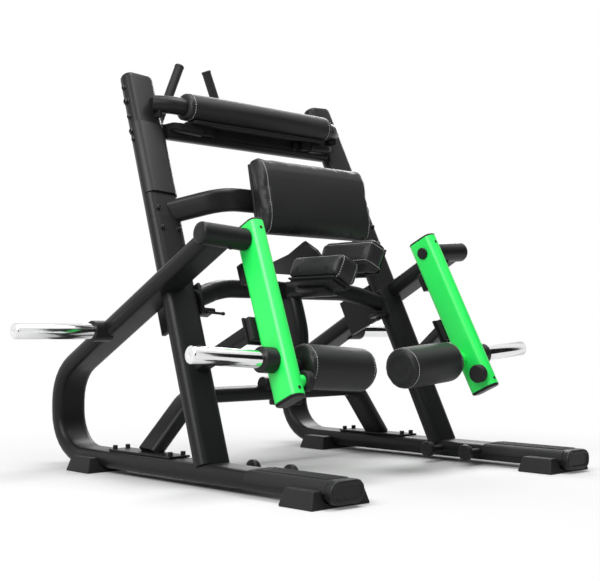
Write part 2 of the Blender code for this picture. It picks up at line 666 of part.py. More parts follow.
def handles():
    top = Vector((0.062, 0.643, 1.434))
    bend = Vector((0.170, 0.640, 1.180))
    start = Vector((0.190, CROSS_Y + 0.025 + FIT, CROSS_Z + 0.006))
    up = (top - bend).normalized()
    circle = [(0.014 * math.cos(t * math.tau / 14), 0.014 * math.sin(t * math.tau / 14)) for t in range(14)]
    path = fillet([start, bend, top - up * 0.004], [0.070])
    handle = sweep("handle_right", circle, path, (0, 0, 1), FRAME_BLACK)
    ends = [(-0.44, CROSS_Y, CROSS_Z), (0.44, CROSS_Y, CROSS_Z)]
    boolean(handle, sweep("cross_cut", round_rect(0.0506, 0.0506, 0.0183), ends, (0, 1, 0), None, CUTTERS))
    twin(handle)
    side = Vector((0, 1, 0)).cross(up).normalized()
    at = frame(top - up * 0.150, side, up.cross(side), up)
    grip = [(0.0143, 0), (0.0165, 0), (0.0172, 0.003), (0.0172, 0.147), (0.0150, 0.150)]
    grip += [(0, 0.150), (0, 0.1464), (0.0143, 0.1464)]
    twin(turned("handle_grip_right", grip, RUBBER, at, 20))


def knee_rests():
    """A V of two cushions that is turned on the spar's axis, with a shell behind each and the hub that joins them."""
    axis = Matrix.Translation((0, KNEE_MID_Y, SPAR_Z)) @ Matrix.Rotation(KNEE_SWIVEL, 4, "Y")
    foot = Matrix.Translation((KNEE_GAP, 0, KNEE_VALLEY)) @ Matrix.Rotation(-KNEE_TILT, 4, "Y")
    turn = shift(foot, KNEE_WIDE / 2) @ Matrix.Rotation(math.pi / 2, 4, "Z")  # x rearward, y inward, z out of the pad
    crown = 0.006

    def profile(k):
        points = []
        for a, b in round_rect(KNEE_WIDE * k, KNEE_THICK, 0.018):
            lift = crown * (1 - (2 * a / KNEE_WIDE) ** 2) if b > 0 else 0
            points.append((a, (b + lift - crown - KNEE_THICK / 2) * (k if b > 0 else 1)))
        return points

    def pair(piece):
        """Turns a piece of the right wing with the V, and makes its twin in the V's own frame."""
        home = piece.matrix_world.copy()
        left = twin(piece)
        piece.matrix_world = axis @ home
        left.matrix_world = axis @ MIRROR @ home

    pair(loft("knee_pad_right", cushion_rings(KNEE_LONG / 2, profile, 0.02), LEATHER, PARTS, turn))
    back = -KNEE_THICK - crown - FIT - KNEE_BOARD / 2
    size = (KNEE_LONG - 0.030, KNEE_WIDE - 0.012, KNEE_BOARD)
    board = block("knee_board_right", size, BOARD, shift(turn, 0.008, 0, back), 0.006)
    pair(board)
    return axis, shift(turn, 0.020, -KNEE_WIDE * 0.03, back - KNEE_BOARD / 2 - FIT - KNEE_HUB / 2)


def knee_carrier(axis, under):
    """Bent cross tube between the posts, the spar that runs forward from it, and the hub under the V of pads."""
    mirror = Vector((-1, 1, 1))
    out = BASE + POST_UP * on_post(0.548)
    bend = Vector((0.300, 0.118, 0.586))
    path = fillet([out, bend, bend * mirror, out * mirror], [0.060, 0.060])
    carrier = sweep("knee_carrier", round_rect(0.060, 0.056, 0.020), path, (0, 0, 1), FRAME_BLACK)
    spar = [(0, 0.118, SPAR_Z - 0.006), (0, SPAR_FRONT_Y + 0.003, SPAR_Z), (0, SPAR_FRONT_Y, SPAR_Z)]
    add(carrier, sweep("spar", round_rect(SPAR_WIDE, SPAR_TALL, 0.028), spar, (1, 0, 0), None, CUTTERS, [1, 1, 0.94]))
    half = 0.006
    fin = [(-0.140, 0.010), (-0.110, 0.060), (-0.071, 0.127), (-0.025, 0.160), (0.065, 0.120), (0.150, 0.098)]
    fin += [(0.150, 0.055), (0.040, 0.045), (0.000, 0.010)]
    sides = [[Vector((x, y - KNEE_MID_Y, z)) for y, z in fin] for x in (-half, half)]
    add(carrier, loft("knee_fin", sides, None, CUTTERS, axis))
    rear_y = KNEE_LONG / 2 + 0.008
    yoke = block("knee_yoke", (0.276, 0.010, 0.044), None, axis @ Matrix.Translation((0, rear_y, 0.066)), 0, CUTTERS)
    add(carrier, yoke)
    wing_size = (0.196, KNEE_WIDE * 0.68, KNEE_HUB)
    for sign in (1, -1):
        side = POST if sign > 0 else MIRROR @ POST
        at = shift(side, -TUBE_WIDE / 2 - FIT - 0.005, 0, on_post(0.548))
        add(carrier, block(f"carrier_flange_{sign}", (0.010, 0.062, 0.100), None, at, 0, CUTTERS))
        wing = under if sign > 0 else MIRROR @ under
        add(carrier, block(f"knee_wing_{sign}", wing_size, None, axis @ wing, 0, CUTTERS))
        boolean(carrier, POST_CUT if sign > 0 else twin(POST_CUT))
        outer = shift(side, 0.100 - TUBE_WIDE / 2, 0, on_post(0.548))
        boolean(carrier, block(f"carrier_end_{sign}", (0.200, 0.3, 0.3), None, outer, 0, CUTTERS))


side_frames()
posts()
upper_placard()
rail_fittings()
rear_arch()
pivots()
swing_arms()
HIP_AT, _ = hip_pad()
hip_hoop(HIP_AT)
elbow_rest()
handles()
knee_carrier(*knee_rests())
bpy.context.view_layer.update()
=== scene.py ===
"""Looks of the plate-loaded kneeling leg curl: studio, finishes, upholstery and small fittings.

What is paired is described for the right (+X) side, and the left side is its mirror image.
"""

import logging
import math
from dataclasses import dataclass, field
from enum import Enum
from typing import Iterable, Sequence

import bmesh
import bpy
from mathutils import Matrix, Vector
from mathutils.bvhtree import BVHTree


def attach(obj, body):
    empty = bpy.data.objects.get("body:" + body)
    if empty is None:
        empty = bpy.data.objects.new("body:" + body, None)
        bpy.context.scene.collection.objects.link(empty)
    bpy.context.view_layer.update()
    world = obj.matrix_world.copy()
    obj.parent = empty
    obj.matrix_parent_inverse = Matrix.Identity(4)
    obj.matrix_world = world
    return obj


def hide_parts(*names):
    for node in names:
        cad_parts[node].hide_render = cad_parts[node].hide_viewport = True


log = logging.getLogger("leg_curl")
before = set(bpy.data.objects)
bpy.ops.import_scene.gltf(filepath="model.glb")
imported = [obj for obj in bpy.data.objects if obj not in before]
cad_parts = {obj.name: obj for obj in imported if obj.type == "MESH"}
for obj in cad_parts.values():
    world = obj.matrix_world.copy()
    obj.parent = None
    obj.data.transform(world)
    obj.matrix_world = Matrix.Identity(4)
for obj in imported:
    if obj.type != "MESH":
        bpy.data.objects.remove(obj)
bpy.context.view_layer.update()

Colour = tuple[float, float, float]
Point = tuple[float, float, float]
Outline = Sequence[tuple[float, float]]

# ---- places that the CAD gives ------------------------------------------------------------------------
RIGHT, BACK, UP = Vector((1, 0, 0)), Vector((0, 1, 0)), Vector((0, 0, 1))
PIVOT = Vector((0.4007, -0.1616, 0.7187))
ARM_IN = Vector((-0.99624, -0.04925, -0.07124))
ARM_BACK = Vector((-0.01494, 0.90800, -0.41870))
ARM_DOWN = Vector((0.08531, -0.41606, -0.90532))
POST_BASE, POST_TOP = Vector((0.5216, -0.1240, 0.062)), Vector((0.4192, 0.4120, 1.2957))
POST_UP = (POST_TOP - POST_BASE).normalized()
POST_ACROSS = (RIGHT - POST_UP.x * POST_UP).normalized()
TUBE_WIDE, TUBE_THIN = 0.115, 0.055
RAIL_X, RAIL_Z, RAIL_FRONT_Y = 0.525, 0.042, -0.655
ROLLER_L, ROLLER_E = 0.388, 0.027
ROLLER_NEAR, ROLLER_FAR = 0.090, 0.352
HORN_L, HORN_E, HORN_R = 0.387, 0.005, 0.025
STORE_Y, STORE_Z = 0.370, 0.450
HIP_BACK, HIP_LEAN = Vector((0, 0.0304, 0.8764)), math.radians(11.1)
ELBOW_Y, ELBOW_Z = 0.273, 1.191
KNEE_SWIVEL, KNEE_TILT = math.radians(-20.9), math.radians(45.6)
KNEE_VALLEY, KNEE_GAP, KNEE_MID_Y, SPAR_Z = 0.0665, 0.0083, -0.148, 0.5945
KNEE_LONG, KNEE_WIDE, KNEE_THICK = 0.214, 0.0965, 0.070


def axes(origin: Vector, x: Vector, y: Vector, z: Vector) -> Matrix:
    """A frame with that origin and those axes."""
    turned = Matrix((x, y, z)).transposed().to_4x4()
    return Matrix.Translation(origin) @ turned


def shift(matrix: Matrix, x: float = 0, y: float = 0, z: float = 0) -> Matrix:
    """The frame moved along its own axes."""
    return matrix @ Matrix.Translation((x, y, z))


def quarter(axis: str, turns: int = 1) -> Matrix:
    """A rotation by that many quarter turns about one axis."""
    return Matrix.Rotation(math.pi / 2 * turns, 4, axis)


def up_post(height: float) -> float:
    """How far along the post that height above the floor is."""
    return (height - POST_BASE.z) / POST_UP.z


ARM = axes(PIVOT, ARM_IN, ARM_BACK, ARM_DOWN)
AXLE = axes(PIVOT, ARM_BACK, ARM_DOWN, ARM_IN)
POST = axes(POST_BASE, POST_ACROSS, POST_UP.cross(POST_ACROSS), POST_UP)
V_AXIS = Matrix.Translation((0, KNEE_MID_Y, SPAR_Z)) @ Matrix.Rotation(KNEE_SWIVEL, 4, "Y")
V_FOOT = Matrix.Translation((KNEE_GAP, 0, KNEE_VALLEY)) @ Matrix.Rotation(-KNEE_TILT, 4, "Y")
V_PAD = shift(V_FOOT, KNEE_WIDE / 2) @ quarter("Z")


class Side(Enum):
    """Which half of the machine a piece is on."""

    RIGHT = 1
    LEFT = -1

    @property
    def word(self) -> str:
        """The side's name, as node and body names have it."""
        return self.name.lower()

    def place(self, matrix: Matrix) -> Matrix:
        """A frame of the right side, brought to this side."""
        return matrix if self is Side.RIGHT else Matrix.Diagonal((-1, 1, 1, 1)) @ matrix


class Slot(Enum):
    """The record's material slots."""

    FRAME = "frame_black"
    ARM = "arm_green"
    CHROME = "chrome"
    LEATHER = "leather_black"
    RUBBER = "rubber_black"
    PLASTIC = "plastic_black"
    BOARD = "board_black"


# ---- shader arithmetic --------------------------------------------------------------------------------
class Value:
    """A shader socket that takes part in Python arithmetic."""

    def __init__(self, shader: "Shader", socket: bpy.types.NodeSocket) -> None:
        """Wraps one output socket of a shader."""
        self.shader, self.socket = shader, socket

    def _math(self, operation: str, first: "Value | float", second: "Value | float" = 0.0) -> "Value":
        """A Math node on two numbers."""
        return self.shader.node("ShaderNodeMath", {"operation": operation}, {0: first, 1: second})

    def __add__(self, other: "Value | float") -> "Value":
        """Sum."""
        return self._math("ADD", self, other)

    __radd__ = __add__

    def __sub__(self, other: "Value | float") -> "Value":
        """Difference."""
        return self._math("SUBTRACT", self, other)

    def __rsub__(self, other: "Value | float") -> "Value":
        """Difference, the other way round."""
        return self._math("SUBTRACT", other, self)

    def __mul__(self, other: "Value | float") -> "Value":
        """Product."""
        return self._math("MULTIPLY", self, other)

    __rmul__ = __mul__

    def above(self, level: float, spread: float) -> "Value":
        """0 below the level, 1 from level + spread on, and a smooth step between."""
        inputs = {"Value": self, "From Min": level, "From Max": level + spread}
        return self.shader.node("ShaderNodeMapRange", {"interpolation_type": "SMOOTHSTEP"}, inputs)


class Shader:
    """One material's node tree."""

    def __init__(self, name: str) -> None:
        """Starts an empty material.

        Args:
            name: The material's name.
        """
        self.material = bpy.data.materials.new(name)
        self.material.use_nodes = True
        self.tree = self.material.node_tree
        self.tree.nodes.clear()

    def node(
        self, kind: str, settings: dict | None = None, inputs: dict | None = None, out: int | str = 0
    ) -> Value:
        """Adds any node.

        Args:
            kind: The node's type.
            settings: Its properties, set first.
            inputs: Values or links, by socket name or number.
            out: Which output to hand back.

        Returns:
            The wrapped output.
        """
        made = self.tree.nodes.new(kind)
        for key, value in (settings or {}).items():
            setattr(made, key, value)
        for key, value in (inputs or {}).items():
            if isinstance(value, Value):
                self.tree.links.new(value.socket, made.inputs[key])
            else:
                made.inputs[key].default_value = value
        return Value(self, made.outputs[out])

    def coords(self) -> Value:
        """Object coordinates."""
        return self.node("ShaderNodeTexCoord", out="Object")

    def noise(self, scale: float, detail: float = 2.0, rough: float = 0.5) -> Value:
        """Noise with that many lumps to a metre, from 0 to 1."""
        inputs = {"Vector": self.coords(), "Scale": scale, "Detail": detail, "Roughness": rough}
        return self.node("ShaderNodeTexNoise", None, inputs)

    def cells(self, scale: float) -> Value:
        """Distance within cells, that many to a metre."""
        inputs = {"Vector": self.coords(), "Scale": scale}
        return self.node("ShaderNodeTexVoronoi", None, inputs, "Distance")

    def mix(self, factor: Value | float, first: Value | Colour, second: Value | Colour) -> Value:
        """A colour between two."""
        pair = [c if isinstance(c, Value) else (*c, 1) for c in (first, second)]
        return self.node("ShaderNodeMix", {"data_type": "RGBA"}, {0: factor, 6: pair[0], 7: pair[1]}, 2)

    def bump(self, height: Value, depth: float, strength: float = 1.0) -> Value:
        """A normal that follows a height of 0 to 1, depth metres tall."""
        inputs = {"Strength": strength, "Distance": depth, "Height": height}
        return self.node("ShaderNodeBump", None, inputs, "Normal")

    def finish(self, **sockets: Value | float | tuple) -> bpy.types.Material:
        """Ends the tree with a Principled surface.

        Args:
            sockets: Its inputs, with _ for a space.

        Returns:
            The material.
        """
        inputs = {key.replace("_", " "): value for key, value in sockets.items()}
        surface = self.node("ShaderNodeBsdfPrincipled", None, inputs, "BSDF")
        self.node_end(surface)
        return self.material

    def node_end(self, surface: Value) -> None:
        """Joins a surface to the material's output."""
        end = self.tree.nodes.new("ShaderNodeOutputMaterial")
        self.tree.links.new(surface.socket, end.inputs["Surface"])


def toned(colour: Colour, factor: float) -> Colour:
    """The colour, lighter or darker."""
    return tuple(min(1.0, channel * factor) for channel in colour)


# ---- finishes -----------------------------------------------------------------------------------------
@dataclass(frozen=True)
class PowderCoat:
    """Satin powder coat: fine orange peel, faint mottling and a few dull rubs."""

    name: str = "powder coat charcoal"
    colour: Colour = (0.0112, 0.0113, 0.0120)
    rough: float = 0.36
    peel: float = 0.00020

    def make(self) -> bpy.types.Material:
        """Makes the material.

        Returns:
            The material.
        """
        s = Shader(self.name)
        mottle, grain = s.noise(6, 3), s.noise(900, 2)
        rubs = s.noise(38, 5, 0.7).above(0.60, 0.16)
        base = s.mix(mottle, toned(self.colour, 0.86), toned(self.colour, 1.16))
        base = s.mix(rubs * 0.30, base, toned(self.colour, 1.9))
        rough = self.rough + (mottle - 0.5) * 0.10 + (grain - 0.5) * 0.10 + rubs * 0.10
        peel = s.bump(s.noise(420, 1) * 0.7 + grain * 0.3, self.peel, 0.5)
        return s.finish(Base_Color=base, Roughness=rough, Normal=peel, Specular_IOR_Level=0.15)


@dataclass(frozen=True)
class GlossGreen:
    """Bright gloss paint with a clear top coat and soft waviness."""

    name: str = "gloss green"
    colour: Colour = (0.014, 0.760, 0.100)
    rough: float = 0.40

    def make(self) -> bpy.types.Material:
        """Makes the material.

        Returns:
            The material.
        """
        s = Shader(self.name)
        mottle, grain = s.noise(5, 2), s.noise(500, 2)
        scuffs = s.noise(60, 5, 0.75).above(0.66, 0.12)
        base = s.mix(mottle, toned(self.colour, 0.92), toned(self.colour, 1.08))
        base = s.mix(scuffs * 0.18, base, toned(self.colour, 0.66))
        rough = self.rough + (mottle - 0.5) * 0.08 + scuffs * 0.15
        peel = s.bump(s.noise(160, 1) * 0.75 + grain * 0.25, 0.00025, 0.35)
        return s.finish(Base_Color=base, Roughness=rough, Normal=peel, Coat_Weight=0.22, Coat_Roughness=0.30)


@dataclass(frozen=True)
class Metal:
    """Bare or plated metal with a fine grind and dulled patches."""

    name: str
    colour: Colour
    rough: float
    grind: float = 700
    depth: float = 0.00004

    def make(self) -> bpy.types.Material:
        """Makes the material.

        Returns:
            The material.
        """
        s = Shader(self.name)
        grain, haze = s.noise(self.grind, 3), s.noise(18, 3)
        base = s.mix(haze, toned(self.colour, 0.88), toned(self.colour, 1.08))
        rough = self.rough + (haze - 0.5) * 0.10 + (grain - 0.5) * 0.06
        return s.finish(Base_Color=base, Metallic=1.0, Roughness=rough, Normal=s.bump(grain, self.depth, 0.6))


@dataclass(frozen=True)
class Leather:
    """Black upholstery leather: pebbled grain, soft creases and a low sheen."""

    name: str = "upholstery leather"
    colour: Colour = (0.0105, 0.0106, 0.0112)
    rough: float = 0.42

    def make(self) -> bpy.types.Material:
        """Makes the material.

        Returns:
            The material.
        """
        s = Shader(self.name)
        pebbles, creases = s.cells(620), s.noise(70, 4, 0.6)
        broad = s.noise(9, 2)
        base = s.mix(broad, toned(self.colour, 0.85), toned(self.colour, 1.25))
        base = s.mix(pebbles * 0.35, toned(self.colour, 1.25), base)
        rough = self.rough + (broad - 0.5) * 0.14 + pebbles * 0.10
        pores = s.bump((1 - pebbles) * 0.55 + creases * 0.45, 0.0005, 0.45)
        return s.finish(Base_Color=base, Roughness=rough, Normal=pores, Specular_IOR_Level=0.26)


@dataclass(frozen=True)
class Moulded:
    """Rubber, plastic or board: matt, finely pitted, a little dusty."""

    name: str
    colour: Colour
    rough: float
    pits: float = 800
    depth: float = 0.0002

    def make(self) -> bpy.types.Material:
        """Makes the material.

        Returns:
            The material.
        """
        s = Shader(self.name)
        grain, dust = s.noise(self.pits, 2), s.noise(14, 4, 0.65)
        base = s.mix(dust.above(0.48, 0.30) * 0.5, self.colour, toned(self.colour, 1.7))
        rough = self.rough + (dust - 0.5) * 0.12 + (grain - 0.5) * 0.08
        pits = s.bump(grain, self.depth, 0.5)
        return s.finish(Base_Color=base, Roughness=rough, Normal=pits, Specular_IOR_Level=0.22)


@dataclass
class Finishes:
    """Every material of the machine, made once."""

    table: dict[Slot, bpy.types.Material] = field(default_factory=dict)
    thread: bpy.types.Material | None = None
    steel: bpy.types.Material | None = None
    satin: bpy.types.Material | None = None

    def make(self) -> "Finishes":
        """Makes the materials.

        Returns:
            Itself.
        """
        self.table = {
            Slot.FRAME: PowderCoat().make(),
            Slot.ARM: GlossGreen().make(),
            Slot.CHROME: Metal("polished chrome", (0.80, 0.80, 0.81), 0.13).make(),
            Slot.LEATHER: Leather().make(),
            Slot.RUBBER: Moulded("ribbed rubber", (0.0120, 0.0120, 0.0126), 0.58).make(),
            Slot.PLASTIC: Moulded("moulded plastic", (0.0115, 0.0115, 0.0125), 0.40, 500, 0.0001).make(),
            Slot.BOARD: Moulded("painted board", (0.008, 0.008, 0.0085), 0.55, 300, 0.0003).make(),
        }
        self.thread = Moulded("seam thread", (0.60, 0.60, 0.61), 0.70, 1500, 0.0001).make()
        self.steel = Metal("blackened steel", (0.045, 0.045, 0.048), 0.42).make()
        self.satin = Metal("satin nickel", (0.86, 0.86, 0.86), 0.34).make()
        return self


# ---- making pieces ------------------------------------------------------------------------------------
def disc_profile(bm: bmesh.types.BMesh, outline: Outline, matrix: Matrix, steps: int) -> None:
    """Spins an outline of (radius, height) points about the frame's z.

    Args:
        bm: Where the shape goes.
        outline: From the axis at the bottom, round the outside, to the axis at the top.
        matrix: The frame.
        steps: Facets round the axis.
    """
    start = [bm.verts.new(matrix @ Vector((r, 0, h))) for r, h in outline]
    edges = [bm.edges.new(pair) for pair in zip(start, start[1:])]
    turned = {"cent": matrix.translation, "axis": matrix.to_3x3() @ UP, "angle": math.tau, "steps": steps}
    bmesh.ops.spin(bm, geom=start + edges, use_merge=True, use_duplicate=False, **turned)
    bmesh.ops.remove_doubles(bm, verts=bm.verts, dist=1e-6)


def slab(bm: bmesh.types.BMesh, size: Point, matrix: Matrix, bevel: float = 0.002, segments: int = 2) -> None:
    """A block with rounded edges, in the middle of the frame.

    Args:
        bm: Where the shape goes.
        size: Its length along each axis.
        matrix: The frame.
        bevel: Width of the rounding.
        segments: Steps of the rounding.
    """
    made = bmesh.ops.create_cube(bm, size=1, matrix=matrix @ Matrix.Diagonal((*size, 1)))
    edges = list(dict.fromkeys(edge for vert in made["verts"] for edge in vert.link_edges))
    bmesh.ops.bevel(bm, geom=edges, offset=bevel, segments=segments, affect="EDGES", profile=0.5, material=-1)


def loop(bm: bmesh.types.BMesh, points: Iterable[Vector]) -> list[bmesh.types.BMEdge]:
    """A closed line of edges through the points."""
    ring = [bm.verts.new(point) for point in points]
    return [bm.edges.new((ring[i - 1], ring[i])) for i in range(len(ring))]


def tube(bm: bmesh.types.BMesh, section: Outline, path: Sequence[Vector], wide: Vector) -> None:
    """A bar of one section along a path, closed at its ends.

    Args:
        bm: Where the shape goes.
        section: Outline points, across and along the second axis.
        path: Points of the centre line.
        wide: The direction of the section's first axis.
    """
    loops = []
    for index, point in enumerate(path):
        before, after = path[max(index - 1, 0)], path[min(index + 1, len(path) - 1)]
        along = (after - before).normalized()
        first = (wide - along * wide.dot(along)).normalized()
        second = along.cross(first)
        loops.append(loop(bm, (point + first * a + second * b for a, b in section)))
    for lower, upper in zip(loops, loops[1:]):
        bmesh.ops.bridge_loops(bm, edges=lower + upper)
    bmesh.ops.holes_fill(bm, edges=loops[0] + loops[-1], sides=len(section))


def rounded(wide: float, tall: float, corner: float, steps: int = 4) -> list[tuple[float, float]]:
    """A rectangle's outline with round corners.

    Args:
        wide: Its length along the first axis.
        tall: Its length along the second axis.
        corner: Radius of its corners.
        steps: Steps round each corner.

    Returns:
        Its points in order.
    """
    points = []
    for index, (sx, sy) in enumerate(((1, 1), (-1, 1), (-1, -1), (1, -1))):
        for step in range(steps + 1):
            turn = math.pi / 2 * (index + step / steps)
            x, y = sx * (wide / 2 - corner), sy * (tall / 2 - corner)
            points.append((x + corner * math.cos(turn), y + corner * math.sin(turn)))
    return points


def curve_through(points: Sequence[Point], steps: int = 6) -> list[Vector]:
    """A smooth line through the points, by Catmull-Rom.

    Args:
        points: What it goes through.
        steps: Steps from one point to the next.

    Returns:
        The line's points in order.
    """
    p = [Vector(q) for q in points]
    p = [2 * p[0] - p[1], *p, 2 * p[-1] - p[-2]]
    line = []
    for i in range(1, len(p) - 2):
        for k in range(steps):
            t = k / steps
            a = 2 * p[i] + (p[i + 1] - p[i - 1]) * t
            b = (2 * p[i - 1] - 5 * p[i] + 4 * p[i + 1] - p[i + 2]) * t * t
            c = (3 * p[i] - p[i - 1] - 3 * p[i + 1] + p[i + 2]) * t**3
            line.append((a + b + c) / 2)
    return [*line, p[-2]]


def mesh_from(name: str, bm: bmesh.types.BMesh) -> bpy.types.Mesh:
    """Makes a mesh of a bmesh.

    Args:
        name: The mesh's name.
        bm: The bmesh; it is used up.

    Returns:
        The mesh.
    """
    mesh = bpy.data.meshes.new(name)
    bm.to_mesh(mesh)
    bm.free()
    return mesh


def linked(name: str, data: bpy.types.ID) -> bpy.types.Object:
    """Puts a new object in the scene.

    Args:
        name: The object's name.
        data: Its mesh, lamp or camera.

    Returns:
        The object.
    """
    made = bpy.data.objects.new(name, data)
    bpy.context.scene.collection.objects.link(made)
    return made


@dataclass
class Workshop:
    """Turns finished meshes into pieces that ride on a body."""

    finishes: Finishes
    made: int = 0

    def piece(
        self,
        name: str,
        bm: bmesh.types.BMesh,
        slot: Slot,
        body: str = "frame",
        material: bpy.types.Material | None = None,
        angle: float = 35,
    ) -> bpy.types.Object:
        """Makes a piece of a bmesh.

        Args:
            name: The piece's name.
            bm: Its mesh, in place; it is used up.
            slot: The record's slot that it takes its finish from.
            body: The body that it rides on.
            material: Its material, where that isn't the slot's own.
            angle: Edges sharper than this stay sharp.

        Returns:
            The object.
        """
        bmesh.ops.remove_doubles(bm, verts=bm.verts, dist=1e-6)
        bmesh.ops.recalc_face_normals(bm, faces=bm.faces)
        for face in bm.faces:
            face.smooth = True
        for edge in bm.edges:
            if len(edge.link_faces) == 2 and edge.calc_face_angle(0) > math.radians(angle):
                edge.smooth = False
        made = linked(name, mesh_from(name, bm))
        made.data.materials.append(material or self.finishes.table[slot])
        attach(made, body)
        self.made += 1
        log.info("%s: %d faces, on %s", name, len(made.data.polygons), body)
        return made


def loose_copy(node: str) -> bmesh.types.BMesh:
    """A merged copy of a CAD node's mesh.

    Args:
        node: The node's name.

    Returns:
        The copy.
    """
    bm = bmesh.new()
    bm.from_mesh(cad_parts[node].data)
    bmesh.ops.remove_doubles(bm, verts=bm.verts, dist=1e-5)
    return bm


# ---- the CAD nodes that show ----------------------------------------------------------------------------
@dataclass
class Dressing:
    """Gives every CAD node its material, softened edges and clean shading."""

    edge: float = 0.0012
    sharp: float = math.radians(32)

    def dress(self, finishes: Finishes) -> None:
        """Dresses the nodes by their slots.

        Args:
            finishes: The materials.
        """
        named = {slot.value: slot for slot in Slot}
        for name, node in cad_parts.items():
            for holder in node.material_slots:
                key = holder.material.name.split(".")[0]
                holder.material = finishes.table[named[key]]
            weld = node.modifiers.new("weld", "WELD")
            weld.merge_threshold = 1e-5
            flat = node.modifiers.new("flat", "DECIMATE")
            flat.decimate_type, flat.angle_limit = "DISSOLVE", math.radians(1)
            edge = node.modifiers.new("edge", "BEVEL")
            edge.width, edge.segments = self.edge, 2
            edge.limit_method, edge.angle_limit = "ANGLE", self.sharp
            shade = node.modifiers.new("shade", "WEIGHTED_NORMAL")
            shade.keep_sharp = False
            log.info("%s: dressed as %s", name, key)


